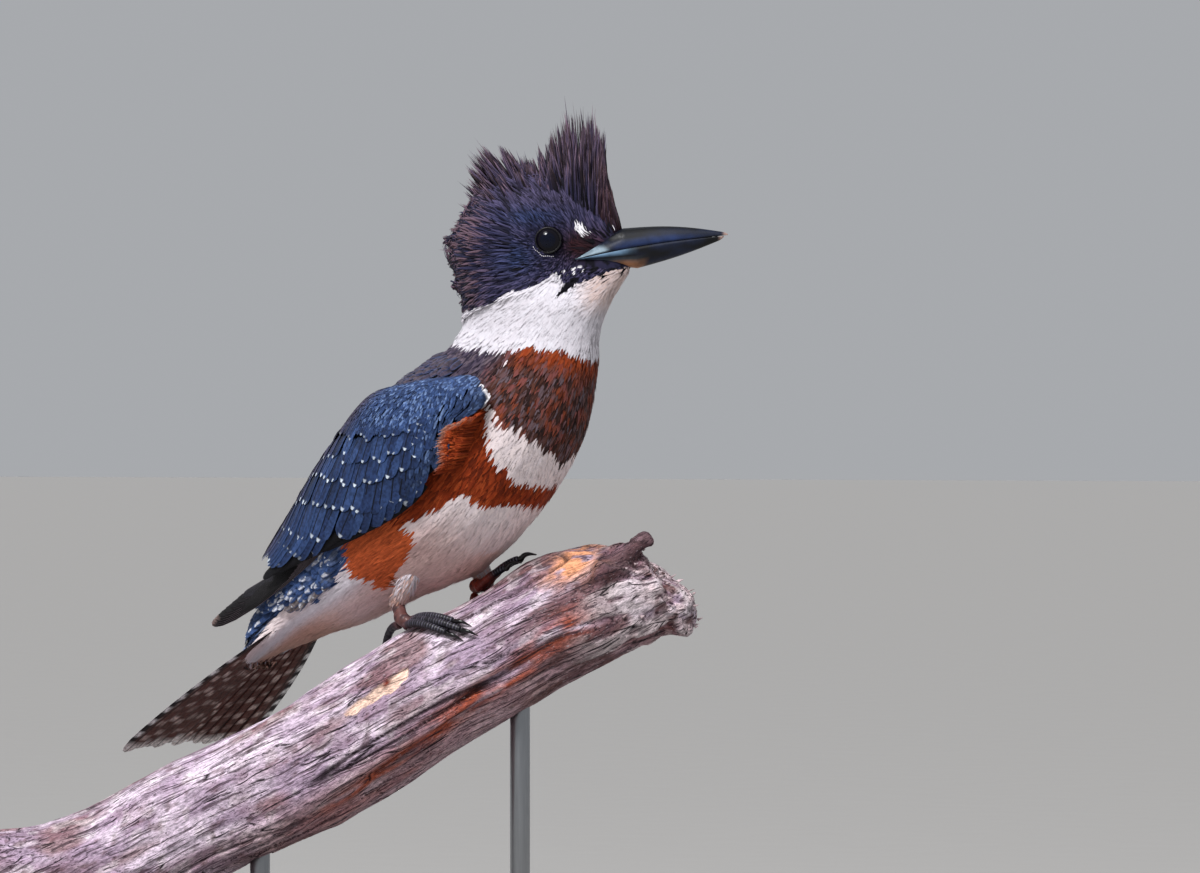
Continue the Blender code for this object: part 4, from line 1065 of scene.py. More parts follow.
def makeWingCore(side, name):
    # the wing's body under its feathers, a closed shell a little inside its outer face
    shares, across = np.meshgrid(np.linspace(0.1, 0.95, 60), np.linspace(-0.96, 0.97, 30), indexing="ij")
    upper, lower = wingLimits(shares)
    across = np.clip(across, upper + 0.06, lower - 0.06)
    outer = wingPoint(shares, across, -1.3, side)
    inner = wingPoint(shares, across * 0.97, -2.6, side)
    rows, columns = shares.shape
    points = np.concatenate((outer.reshape(-1, 3), inner.reshape(-1, 3)))
    grid = gridFaces(rows, columns, False, False)
    index = np.arange(rows * columns).reshape(rows, columns)
    border = np.concatenate((index[0, :-1], index[:-1, -1], index[-1, :0:-1], index[:0:-1, 0]))
    follow, inside = np.roll(border, -1), border + rows * columns
    insideNext = follow + rows * columns
    faces = np.concatenate((grid, grid[:, ::-1] + rows * columns, np.stack((border, inside, insideNext), 1),
                            np.stack((border, insideNext, follow), 1)))
    faces = faces if side > 0 else faces[:, ::-1]
    tint = np.tile(colours["blueDark"] * 0.6, (len(points), 1))
    meshOf("wing_core_" + name, points, faces, looks["down"], ("wing_" + name,), tint)


def alongRow(tips, pitch, side):
    # places for feather tips, every pitch millimetres along a row over the wing
    u = np.linspace(0, 1, 240)
    knots = np.linspace(0, 1, len(tips))
    share, across = (np.interp(u, knots, [row[k] for row in tips]) for k in range(2))
    run = wingPoint(share, across, 0 * u, side)
    length = np.append(0, np.cumsum(np.linalg.norm(np.diff(run, axis=0), axis=1)))
    spots = np.arange(pitch * 0.5, length[-1], pitch)
    return np.interp(spots, length, share), np.interp(spots, length, across)


def wingFeathers(rng, share, across, length, lean, side, lift, roll):
    # feathers with their tips there: base, middle, tip and the ups of both ends
    step, count = 0.01, len(share)
    here = wingPoint(share, across, 0 * share, side)
    perShare = np.linalg.norm(wingPoint(share - step, across, 0 * share, side) - here, axis=1) / step
    inner = np.clip(across, -0.9, 0.9)
    perAcross = np.linalg.norm(wingPoint(share, inner - step, 0 * share, side)
                               - wingPoint(share, inner, 0 * share, side), axis=1) / step
    lean = np.radians(lean + rng.normal(0, 1.5, count))
    size = length * rng.uniform(0.94, 1.06, count)

    def at(back):
        return (np.clip(share + np.cos(lean) * size * back / np.maximum(perShare, 60), 0, 0.995),
                np.clip(across - np.sin(lean) * size * back / np.maximum(perAcross, 8), -1.0, 1.08))

    spots = [wingPoint(*at(back), np.full(count, rise), side)
             for back, rise in ((1.0, -0.7), (0.5, lift * 0.7 - 0.1), (0.0, lift))]
    ups = []
    for back in (1.0, 0.0):
        s, a = at(back)
        s, a = np.clip(s, 0.02, 0.98), np.clip(a, -0.94, 0.94)
        base = wingPoint(s, a, 0 * s, side)
        toFront = wingPoint(s + step, a, 0 * s, side) - wingPoint(s - step, a, 0 * s, side)
        toTop = unit(wingPoint(s, a - step, 0 * s, side) - base)
        ups.append(unit(unit(np.cross(toFront, toTop)) * (1 if side < 0 else -1) + roll * toTop))
    return spots, ups


wingRows = {
    # tips along the row (share, across); pitch, length, width, lean, lift; tick, shaft, fringe; kind
    "edge": (((0.0, 0.86), (0.06, 0.95), (0.2, 0.99), (0.36, 1.0), (0.47, 0.97)),
             5.0, 24.0, 4.0, 1.0, -0.6, 0.0, 0.6, 0.0, "edge"),
    "outerTertials": (((0.0, -0.75), (0.01, -0.3), (0.03, 0.2), (0.06, 0.6), (0.10, 0.95)),
                      2.6, 30.0, 6.5, 12.0, -0.1, 1.0, 0.8, 0.4, "wing"),
    "tertials": (((0.03, -0.8), (0.05, -0.4), (0.09, 0.15), (0.13, 0.55), (0.17, 0.9), (0.20, 1.02)),
                 2.9, 24.0, 6.6, 20.0, 0.0, 0.6, 0.9, 0.4, "wing"),
    "secondaries": (((0.09, -0.9), (0.12, -0.4), (0.155, 0.2), (0.20, 0.62), (0.27, 0.9), (0.36, 1.0),
                     (0.46, 1.01), (0.56, 0.98)), 4.3, 21.0, 7.6, 33.0, 0.1, 0.9, 0.95, 0.3, "wing"),
    "greater": (((0.13, -0.95), (0.18, -0.5), (0.23, -0.1), (0.29, 0.32), (0.35, 0.62), (0.43, 0.84),
                 (0.52, 0.93), (0.62, 0.9)), 4.3, 19.0, 7.8, 38.0, 0.15, 1.0, 1.0, 0.25, "wing"),
    "median": (((0.19, -0.95), (0.25, -0.6), (0.31, -0.25), (0.37, 0.12), (0.43, 0.42), (0.51, 0.60),
                (0.60, 0.66), (0.69, 0.6)), 4.2, 17.0, 7.4, 40.0, 0.25, 1.0, 1.0, 0.25, "wing"),
    "lesserLow": (((0.26, -0.96), (0.32, -0.66), (0.38, -0.38), (0.44, -0.04), (0.50, 0.24), (0.57, 0.40),
                   (0.65, 0.44), (0.74, 0.38)), 4.0, 15.0, 6.6, 40.0, 0.3, 0.9, 0.9, 0.25, "wing"),
    "lesserHigh": (((0.33, -0.97), (0.39, -0.75), (0.45, -0.5), (0.51, -0.22), (0.57, 0.04), (0.64, 0.20),
                    (0.72, 0.26), (0.80, 0.2)), 3.6, 13.0, 5.8, 40.0, 0.35, 0.5, 0.8, 0.25, "wing"),
}
smallCoverts = {
    "front": ((-1.0, 0.36), (-0.55, 0.46), (-0.2, 0.53), (0.05, 0.60), (0.2, 0.68), (0.35, 0.70), (0.6, 0.66),
              (0.85, 0.58), (1.05, 0.52)),           # where they begin: across, share
    "rows": 34,
    "step": 0.017,
    "pitch": 1.25,
    "length": (5.2, 7.8),
    "halfWidth": (0.36, 0.7),
}


def makeWing(side, name):
    rng = np.random.default_rng(31)
    gathered = []
    for tips, pitch, length, width, lean, lift, tick, shaft, fringe, kind in wingRows.values():
        share, across = alongRow(tips, pitch, side)
        share = share + rng.normal(0, 0.008, len(share)) * (kind == "wing")
        shift = rng.normal(0, 0.02, len(share)) * (kind == "wing")
        spots, ups = wingFeathers(rng, share, across + shift, length, lean, side, lift, 0.1)
        light = -1 if kind == "edge" else 0.4
        gathered.append((spots, ups, np.full(len(share), width / 2), tick, shaft, fringe, light))
    start = np.array(smallCoverts["front"])
    for index in range(smallCoverts["rows"]):
        across = np.linspace(-1.0, 1.05, 30)
        row = np.interp(across, start[:, 0], start[:, 1]) + smallCoverts["step"] * index
        kept = row < 0.985
        if kept.sum() < 4:
            continue
        share, across = alongRow(list(zip(row[kept], across[kept])), smallCoverts["pitch"], side)
        share = share + rng.normal(0, 0.006, len(share))
        across = across + rng.normal(0, 0.025, len(share)) + 0.02 * (index % 2)
        upper, lower = wingLimits(share)
        kept = (across > upper) & (across < lower) & (share < wingFront(across) - 0.018)
        share, across = share[kept], across[kept]
        if len(share) < 2:
            continue
        room = wingLimits(share)[1] - across
        lean = 38 - 22 * smooth(-across, 0.2, 0.8) - 30 * smooth(share, 0.85, 0.97)
        nearEdge = smooth(room, 0.4, 0.05) * smooth(share, 0.78, 0.82)
        lean = lean - (lean + 28 * smooth(share, 0.8, 0.84)) * nearEdge
        length = rng.uniform(*smallCoverts["length"], len(share))
        length = np.minimum(length, (wingFront(across) - share) * 120)
        spots, ups = wingFeathers(rng, share, across, length, lean, side, 0.4, 0.06)
        half = rng.uniform(*smallCoverts["halfWidth"], len(share))
        gathered.append((spots, ups, half, 0.0, 0.2, 0.0, 0.62))
    base, middle, tip = (np.concatenate([row[0][k] for row in gathered]) for k in range(3))
    upBase, upTip = (np.concatenate([row[1][k] for row in gathered]) for k in range(2))
    half = np.concatenate([row[2] for row in gathered])
    count = len(half)
    points, faces, along, sideways, owner = blades(featherShape, base, middle, tip, upBase, upTip, half)
    marks = np.concatenate([np.tile(row[3:6], (len(row[2]), 1)) for row in gathered])
    marks[:, 0] *= rng.uniform(0.4, 1.0, count) * (rng.random(count) > 0.2)
    light = np.concatenate([np.full(len(row[2]), row[6]) for row in gathered])
    streak = np.clip(rng.random(count) * 0.75 + light * 0.35, 0, 1)
    place = trunkPlace(tip)
    around = np.abs(place[1])
    shade = pick(streak, "blueDark", "blue", "blue", "bluePale")
    shade = mix(shade, pick(streak, "mantleDark", "mantle"), smooth(around, 58, 36) * 0.9)
    small = half < 1.2
    shade = mix(shade, pick(rng.random(count), "blue", "blueMid", "bluePale", "blueSilk"),
                smooth(place[0], 0.36, 0.5) * small * smooth(around, 40, 66))
    # painted shade: the small coverts darker towards the wing's lower edge
    shade = mix(shade, "#1b2230", small * smooth(around, 88, 104) * 0.55)
    # the near-black edge row along the wing's lower edge: partly the flight feathers' own dark inner webs,
    # partly painted shadow in the gap between wing and flank
    shade = np.where((light < 0)[:, None], linear("#0d0c12"), shade)
    # painted shade: each feather darker towards its root, under the one that laps over it, so the seams
    # between feathers read dark
    tint = mix(shade[owner] * (0.5 + 0.26 * small[owner])[:, None], shade[owner], smooth(along, 0.2, 0.6))
    tint = tint * (1 - 0.18 * smooth(along, 0.9, 1.0) * (marks[owner, 0] < 0.1))[:, None]
    ahead, reach, _ = wingPlace(points)
    rim = wingFront(np.minimum(reach, 1.0)) - ahead + 0.01 * (streak[owner] - 0.5)
    bend = ((rim < 0.016) & (reach > 0.45)) | ((reach > 0.92) & (ahead > 0.87) & (rim < 0.055))
    tint = np.where((bend & small[owner])[:, None], colours["white"], tint)
    columns = int(math.ceil(math.sqrt(count)))
    cell = np.stack((np.arange(count) % columns, np.arange(count) // columns), -1)[owner]
    atlas = (cell + 0.08 + 0.84 * np.stack((sideways / 2 + 0.5, along), -1)) / columns
    print("wing_" + name, count, "feathers", len(faces), "triangles")
    ups = mix(upBase[owner], upTip[owner], along)
    meshOf("wing_feathers_" + name, points, faces, looks["covert"], (), tint, marks[owner],
           {"vane": vaneMap(along, sideways), "OFBake": atlas}, (ups, 0.7))


wingBorder = {"span": (0.67, 0.89), "peak": 0.8, "locks": 760, "roots": (0.0, 0.5), "lap": (0.0, 0.1),
              "width": 0.4}


def makeWingBorder(side, name):
    # flank feathers that lap over the folded wing's front edge
    rng = np.random.default_rng(14)
    count = wingBorder["locks"]
    start, stop = wingBorder["span"]
    share = rng.triangular(start, wingBorder["peak"], stop, count)
    limit = wingLimits(share)[1]
    lobe = np.sin(np.pi * (share - start) / (stop - start))
    root = limit + rng.uniform(*wingBorder["roots"], count) ** 1.4 * (0.3 + 0.7 * lobe)
    end = limit - rng.uniform(*wingBorder["lap"], count) * (0.25 + 0.75 * lobe)
    end = np.maximum(end, root - 0.3)
    back = share - rng.uniform(0.015, 0.04, count)
    depth = smooth(root - limit, 0.04, 0.3)
    base = wingPoint(share, root, -2.0 - 3.4 * depth, side)
    middle = wingPoint((share + back) / 2, root * 0.45 + end * 0.55, 1.1 - 2.2 * depth, side)
    tip = wingPoint(back, end, rng.uniform(0.7, 1.2, count) - 1.6 * depth, side)
    ups = unit(wingPoint(share, limit, 1.0, side) - wingPoint(share, limit, 0.0, side))
    half = wingBorder["width"] * rng.uniform(0.6, 1.3, count)
    points, faces, along, sideways, owner = blades(lockShape, base, middle, tip, ups, ups, half)
    streak = rng.random(count)
    shade = pick(streak, "rustDark", "rust", "rustPale")
    pale = (smooth(limit - end, 0.01, 0.07) * (0.35 + 0.5 * streak))[owner] * smooth(along, 0.62, 1.0)
    # painted shade: each lock darker towards its root, under the feathers that lap over it
    tint = mix(shade[owner] * 0.7, shade[owner], smooth(along, 0.1, 0.5))
    tint = mix(tint, "#dcb8a6", pale)
    places = np.stack(((share - start) * 5, root / 2), -1)
    meshOf("plumage_wing_border_" + name, points, faces, looks["plumage"], (), tint, None,
           lockMaps(places, along, sideways, owner, 2), (ups[owner], 0.6))


for wingSide, wingName in ((-1, "right"), (1, "left")):
    makeWingCore(wingSide, wingName)
    makeWing(wingSide, wingName)
    makeWingBorder(wingSide, wingName)


quillShape = {"outline": ((0.0, 0.25), (0.08, 0.6), (0.25, 0.9), (0.45, 1.0), (0.65, 1.0), (0.8, 0.94),
                          (0.9, 0.78), (0.96, 0.52)), "top": 7, "under": 3, "ridge": 0.07, "camber": 0.06}
primaries = {
    # middle line of the folded stack: forward, out, height, half depth
    "stations": ((-20.0, 28.5, 179.0, 7.5), (-47.0, 21.6, 163.6, 7.6), (-60.0, 18.8, 158.7, 6.9),
                 (-75.0, 16.2, 152.7, 4.8), (-88.0, 13.9, 147.4, 1.6)),
    "lean": 38.0,
    "reach": (0.66, 0.72, 0.78, 0.84, 0.89, 0.93, 0.965, 0.985, 1.0),
}


def makePrimaries(side, name):
    # long dark quills stacked like a closed fan, each a little shorter than the one under it
    reach = np.array(primaries["reach"])
    order = np.arange(len(reach))
    lean = math.radians(primaries["lean"])
    away = np.array((0.0, -math.sin(lean), math.cos(lean)))     # across the stack, towards its upper edge
    face = np.array((0.0, math.cos(lean), math.sin(lean)))      # out of the stack

    def at(share, rise, layer):
        forward, out, high, half = np.moveaxis(spline(primaries["stations"], share), -1, 0)
        spot = np.stack((forward, out, high), -1)
        return spot + away * (half * rise)[:, None] + face * (0.9 - 0.34 * layer)[:, None]

    offset = np.linspace(0.5, -0.75, len(reach))
    flip = np.array((1.0, side, 1.0))
    parts = [at(reach * part, offset * width, order) * flip + pose["place"]
             for part, width in ((0.0, 0.25), (0.55, 0.75), (1.0, 0.8))]
    up = np.tile((face - 0.1 * away) * flip, (len(reach), 1))
    points, faces, along, sideways, owner = blades(quillShape, *parts, up, up, np.full(len(reach), 3.0))
    streak = np.linspace(0.0, 1.0, len(reach))
    shade = mix("#131014", "#0a0709", streak)
    shade[0] = linear("#1c1a20")
    end = smooth(along, 0.94, 1.0) * (owner >= 5)
    tint = mix(shade[owner], "#c9a9a2", end * 0.8)
    marks = np.tile((0.0, 0.6, 0.7), (len(points), 1))
    cell = (owner + 0.1 + 0.8 * (sideways / 2 + 0.5)) / len(reach)
    place = np.stack((cell, along * 0.96 + 0.02), -1)
    meshOf("primary_quills_" + name, points, faces, looks["flight"],
           ("primaries_" + name,), tint, marks, {"vane": vaneMap(along, sideways), "OFBake": place})


tailShape = {"outline": ((0.0, 0.3), (0.12, 0.55), (0.3, 0.75), (0.5, 0.88), (0.68, 0.96), (0.82, 1.0),
                         (0.9, 0.97), (0.95, 0.8), (0.985, 0.5)),
             "top": 9, "under": 7, "ridge": 0.035, "camber": 0.02}


def tailPoint(along, across, above):
    pitch = math.radians(tail["pitch"])
    lift = above - tail["camber"] * (across / tail["halfTip"]) ** 2
    return np.stack((tail["root"][0] - along * math.cos(pitch) - lift * math.sin(pitch), across,
                     tail["root"][1] - along * math.sin(pitch) + lift * math.cos(pitch)), -1) + pose["place"]


def makeTail():
    # twelve quills fanned from the rump, the outer ones lowest, barred brown below and slate above
    share = np.linspace(-1, 1, tail["quills"])
    layer = -0.75 * np.abs(share) + 0.3
    uneven = np.sin(np.arange(len(share)) * 2.6 + 0.8)
    length = tail["length"] + 3.4 + 1.3 * uneven + 1.0 * np.abs(share)
    spots = []
    for along, half in ((tail["start"], tail["halfStart"]), (length * 0.45, None), (length, tail["halfTip"])):
        half = half or np.interp(0.45, (0, 1), (tail["halfRoot"], tail["halfTip"]))
        spots.append(tailPoint(along + 0 * share, share * half, layer))
    pitch = math.radians(tail["pitch"])
    up = np.tile((-math.sin(pitch), 0.0, math.cos(pitch)), (len(share), 1))
    outline = np.array(tailShape["outline"])
    fine = np.linspace(0, 0.9, 46)                                   # rings close enough to carry the bars
    widths = np.interp(fine, *outline.T)
    shape = tailShape | {"outline": tuple(zip(fine, widths)) + tailShape["outline"][-2:]}
    half = np.full(len(share), tail["width"] / 2)
    points, faces, along, sideways, owner = blades(shape, *spots, up, up, half)
    ring = shape["top"] + shape["under"]
    below = np.append(np.tile(np.arange(ring) >= shape["top"], len(shape["outline"])), False)
    below = np.tile(below, len(share))
    edgeRow = np.abs(sideways) > 0.99
    travel = along * (tail["length"] - tail["start"]) + tail["start"]
    outerSide = sideways * np.sign(share)[owner] > 0
    jag = 0.26 * (grain(points, 2.4, 4) - 0.5)
    phase = (travel / tail["bar"] + 0.35 + 0.2 * outerSide + 0.24 * np.sin(owner * 2.4)
             + 0.12 * np.abs(sideways)) % 1.0
    bar = smooth(np.abs(phase - 0.5) + jag, 0.18, 0.09) * smooth(travel, 2, 9)
    worn = smooth(grain(np.stack((travel, owner * 13.0, outerSide * 9.0), -1), 6.0, 10), 0.24, 0.5)
    out = np.abs(sideways)
    blotch = bar * smooth(out, 0.06, 0.2) * smooth(out, 1.0, 0.85) * (0.25 + 0.75 * worn)
    blotch = blotch * (0.75 + 0.25 * np.sin(owner * 7.7))
    underTint = mix("#5e352f", "#d6bdb6", blotch * 0.92)
    underTint = underTint * (0.8 + 0.4 * grain(points, 6.0, 9))[:, None]
    middleQuill = np.abs(share)[owner] < 0.1
    overTint = mix("#223458", "#0d1018", (1 - bar) * 0.7 * ~middleQuill)
    spot = bar * worn * (np.abs(out - 0.8) < 0.25)
    overTint = mix(overTint, "#dfe6ec", spot * 0.8)
    tint = np.where((below | edgeRow)[:, None], underTint, overTint)
    outermost = (np.abs(share)[owner] > 0.99) & outerSide
    rim = smooth(out, 0.15, 0.35) * outermost
    tint = mix(tint, "#21151a", rim)
    oval = np.abs((travel / 7.4 + 0.2) % 1.0 - 0.5) / 0.2
    dot = smooth(np.hypot(oval, (out - 0.8) / 0.36), 1.35, 0.95) * outermost * smooth(travel, 2, 9)
    tint = mix(tint, "#f8f4f4", dot)
    end = smooth(along + 0.012 * np.sin(owner * 5.0) + 0.03 * (grain(points, 1.5, 17) - 0.5), 0.925, 0.955)
    tint = mix(tint, "#f6ecea", end * 0.95)
    marks = np.tile((0.0, 0.7, 0.0), (len(points), 1))
    cell = (owner + 0.06 + 0.88 * (sideways / 2 + 0.5)) / len(share)
    place = np.stack((cell, (along * 0.47 + 0.01) + 0.5 * below), -1)
    meshOf("tail_quills", points, faces, looks["flight"], ("tail",), tint, marks,
           {"vane": vaneMap(along, sideways), "OFBake": place})


for wingSide, wingName in ((-1, "right"), (1, "left")):
    makePrimaries(wingSide, wingName)
makeTail()
print("flight feathers and tail made")


scales = (
    # where, spacing, length, width, lift, and how much tick, shaft and fringe shows
    (lambda t, around: (t < 0.24) & (around < np.interp(t, *markings["blueLow"]) - 3),
     2.0, 7.0, 3.0, 2.3, (0.8, 0.4, 0.6)),
    (lambda t, around: (t > 0.24) & (t < edge("collarLow", around) - 0.03) & (around < 66),
     2.3, 7.4, 3.4, 2.2, (0.0, 0.45, 0.5)),
)


def makeScales():
    rng = np.random.default_rng(41)
    groups = []
    for chosen, spacing, length, width, lift, marksRow in scales:
        t, angle = trunkPlace(skin.middles)
        wanted = chosen(t, np.abs(angle)) & (headness(skin.middles) < 268) & ~underWing(skin.middles, 6)
        roots, normals = skin.scatter(rng, wanted, spacing)
        size = length * rng.uniform(0.85, 1.15, len(roots))
        parts = lay(skin, rng, roots, normals, lieOf(roots, normals), size,
                    lift * rng.uniform(0.85, 1.1, len(roots)), 0.5, 0.1)
        groups.append((roots, parts, np.full(len(roots), width / 2), np.tile(marksRow, (len(roots), 1))))
    roots, half, marks = (np.concatenate([row[k] for row in groups]) for k in (0, 2, 3))
    parts = [np.concatenate([row[1][k] for row in groups]) for k in range(5)]
    points, faces, along, sideways, owner = blades(featherShape, *parts, half)
    streak = rng.random(len(roots))
    shade = paint(parts[2], streak * 0.8 + 0.1)
    onRump = marks[:, 0] > 0
    most = np.where(onRump, 0.16, 0.06)
    shade = shade * np.minimum(1, most / np.maximum(shade.mean(-1), 1e-4))[:, None] ** 0.9
    # painted shade: each feather darker towards its root, under the one that laps over it
    tint = mix(shade[owner] * 0.5, shade[owner], smooth(along, 0.3, 0.7))
    flecked = onRump & (rng.random(len(roots)) > 0.68)
    band = smooth(np.abs(sideways - 0.4 * np.sin(owner * 5.3)), 0.42, 0.3) * smooth(along, 0.35, 0.6)
    tint = mix(tint, "#e6e8f0", band * flecked[owner] * 0.85)
    marks[:, 0] *= rng.random(len(roots)) > 0.75
    print("scales", len(roots), "feathers", len(faces), "triangles")
    ups = mix(parts[3][owner], parts[4][owner], along)
    atlas = patches(mapPlaces(roots), along, sideways, owner, 0.012)
    meshOf("mantle_and_rump_feathers", points, faces, looks["covert"], (), tint,
           marks[owner], {"vane": vaneMap(along, sideways), "OFBake": atlas}, (ups, 0.6))


makeScales()


bill = {"culmen": (34.0, 304.0), "gape": (15.6, 291.6), "tip": (76.0, 301.4), "chin": (40.0, 288.4),
        "rise": 1.2, "halfWidth": 10.4, "rings": 90, "sides": 17, "seam": 0.12, "shorter": 1.6,
        "bow": {True: 1.6, False: -0.9}, "tipRise": {True: 0.9, False: -0.5}}       # upper half, lower half


def makeMandible(name, upper):
    # half the bill: a ridge, rounded flanks, a sharp cutting edge and a flat mouth side
    share = np.linspace(0, 1, bill["rings"]) ** 0.95
    tipAhead = bill["tip"][0] - (0 if upper else bill["shorter"])
    ahead = bill["gape"][0] - 2.0 + (tipAhead - bill["gape"][0] + 2.0) * share
    run = np.clip((ahead - bill["gape"][0]) / (bill["tip"][0] - bill["gape"][0]), 0, 1)
    mouth = bill["gape"][1] + (bill["tip"][1] - bill["gape"][1]) * run + bill["rise"] * np.sin(np.pi * run)
    corner = bill["culmen"] if upper else bill["chin"]
    rise = np.clip((ahead - bill["gape"][0]) / (corner[0] - bill["gape"][0]), 0.03, 1)
    beyond = np.clip((ahead - corner[0]) / (bill["tip"][0] - corner[0]), 0, 1)
    bow = bill["bow"][upper] * np.sin(np.pi * beyond)
    tipHigh = bill["tip"][1] + bill["tipRise"][upper]
    ridge = np.where(ahead < corner[0], bill["gape"][1] + (corner[1] - bill["gape"][1]) * rise ** 0.8,
                     corner[1] + (tipHigh - corner[1]) * beyond + bow)
    side = 1 if upper else -1
    width = bill["halfWidth"] * (1 - run) ** 0.85 * (1 - 0.22 * run) + 0.5
    depth = np.maximum(side * (ridge - mouth), 0.6)
    taper = np.sqrt(np.clip((tipAhead - ahead) / 1.5, 0, 1))
    width, depth = width * (0.25 + 0.75 * taper), depth * (0.35 + 0.65 * taper)
    turn = np.linspace(0, np.pi, bill["sides"])
    out = np.sign(np.cos(turn)) * np.abs(np.cos(turn)) ** (0.82 if upper else 0.9)
    up = np.sin(turn) ** (1.15 if upper else 1.0)
    floor = mouth + side * bill["seam"]
    rows = np.stack((np.repeat(ahead[:, None], len(turn), 1), width[:, None] * out,
                     floor[:, None] + side * depth[:, None] * up), -1)
    if upper:   # groove along the nostril, and the nostril's slit
        along = rows[..., 0]
        at = (rows[..., 2] - floor[:, None]) / np.maximum(depth[:, None], 0.1)
        groove = np.exp(-((at - 0.62) / 0.13) ** 2) * smooth(along, 24, 29) * smooth(along, 62, 44)
        slit = np.exp(-((at - 0.66) / 0.07) ** 2) * smooth(along, 28.5, 29.5) * smooth(along, 34.5, 33)
        rows[..., 1] -= np.sign(rows[..., 1]) * (0.35 * groove + 0.55 * slit)
    sides = bill["sides"]
    points = rows.reshape(-1, 3)
    world = fromHead(points)
    x, z = points[:, 0], points[:, 2]
    level = (z - np.repeat(floor, sides)) * side / np.repeat(np.maximum(depth, 0.3), sides)
    colour = mix("#06070c", "#11192f", smooth(grain(points * (0.3, 1, 1), 3, 2), 0.35, 0.7))
    ragged = 1.5 * (grain(points * (0.5, 1, 1), 1.5, 5) - 0.5)
    if upper:
        # painted sheen: a blue band along the lower flank of the upper mandible, for the blue sheen on its
        # glossy horn
        blueSheen = smooth(level, 0.5, 0.25) * smooth(x, 26, 36) * smooth(x, 72, 54)
        colour = mix(colour, "#24396a", blueSheen * 0.5)
        wedge = smooth(x + 8 * level + ragged, 31.0, 27.5)
        colour = mix(colour, "#8497a4", wedge * smooth(level, 0.02, 0.1))
        nostril = np.exp(-((level - 0.66) / 0.1) ** 2) * smooth(x, 28, 29.5) * smooth(x, 35, 33.5)
        colour = mix(colour, "#030305", nostril)
    else:
        colour = mix(colour, "#5d7993", smooth(level, 0.36, 0.26) * smooth(x + ragged, 41, 31))
        gonys = smooth(level, 0.5, 0.64) * smooth(x + 1.5 * ragged, 45, 38)
        warm = mix("#66747f", "#b07a56", smooth(x, 26, 35) * smooth(level, 0.5, 0.8))
        colour = mix(colour, warm, gonys * 0.9)
    colour = mix(colour, "#cfaea2", smooth(x, tipAhead - 2.6, tipAhead - 0.4) * 0.85)
    meshOf(name, world, outward(world, tubeFaces(bill["rings"], sides)), looks["bill"],
           ("bill_upper" if upper else "bill_lower",), colour)


makeMandible("upper_mandible", True)
makeMandible("lower_mandible", False)


def sphereGrid(rings, sides):
    # a closed unit ball with its poles along Y
    turn, spin = np.linspace(0, np.pi, rings + 1)[1:-1], np.linspace(0, 2 * np.pi, sides + 1)[:-1]
    turn, spin = np.meshgrid(turn, spin, indexing="ij")
    body = np.stack((np.sin(turn) * np.cos(spin), np.cos(turn), np.sin(turn) * np.sin(spin)), -1)
    points = np.concatenate((body.reshape(-1, 3), [(0, 1, 0), (0, -1, 0)]))
    first = np.arange(sides)
    follow = np.roll(first, -1)
    last = (rings - 2) * sides
    caps = (np.stack((np.full(sides, len(points) - 2), follow, first), 1),
            np.stack((np.full(sides, len(points) - 1), last + first, last + follow), 1))
    return points, np.concatenate((gridFaces(rings - 1, sides), *caps))


def ringTube(middle, radius, thick, rings, sides, squash):
    # a closed round tube about the Y axis, with a thickness that may vary round it
    turn, spin = (np.linspace(0, 2 * np.pi, count + 1)[:-1] for count in (rings, sides))
    turn, spin = np.meshgrid(turn, spin, indexing="ij")
    width = thick(turn)
    reach = radius + width * np.cos(spin)
    points = np.stack((reach * np.cos(turn), width * squash * np.sin(spin), reach * np.sin(turn)), -1)
    return points.reshape(-1, 3) + middle, gridFaces(rings, sides, True)


def makeEye(side, name):
    place = np.array(eye["place"]) * (1, side, 1)
    points, faces = sphereGrid(eye["rings"], eye["sides"])
    around = np.hypot(points[:, 0], points[:, 2]) * eye["radius"]
    # painted reflection: the pupil tinted navy for the blue sky mirrored in the wet eye
    tint = mix("#070b1a", "#0c0a12", smooth(around, *eye["pupil"]))
    world = fromHead(points * eye["radius"] + place)
    meshOf("eyeball_" + name, world, outward(world, faces), looks["eye"], ("eye_" + name,), tint)
    depth = math.sqrt(eye["radius"] ** 2 - eye["opening"] ** 2)

    def lidThick(turn):
        return 0.34 + 0.1 * np.sin(turn) ** 2 + 0.03 * np.sin(turn * 28)

    middle = place + np.array((0, side * (depth + 0.1), 0))
    points, faces = ringTube(middle, eye["opening"], lidThick, *eye["lid"])
    inner = np.hypot(points[:, 0] - place[0], points[:, 2] - place[2]) - eye["opening"]
    tint = mix("#070607", "#1d191f", smooth(inner, 0.0, 0.4))
    world = fromHead(points)
    meshOf("eyelid_" + name, world, outward(world, faces), looks["lid"], (), tint)


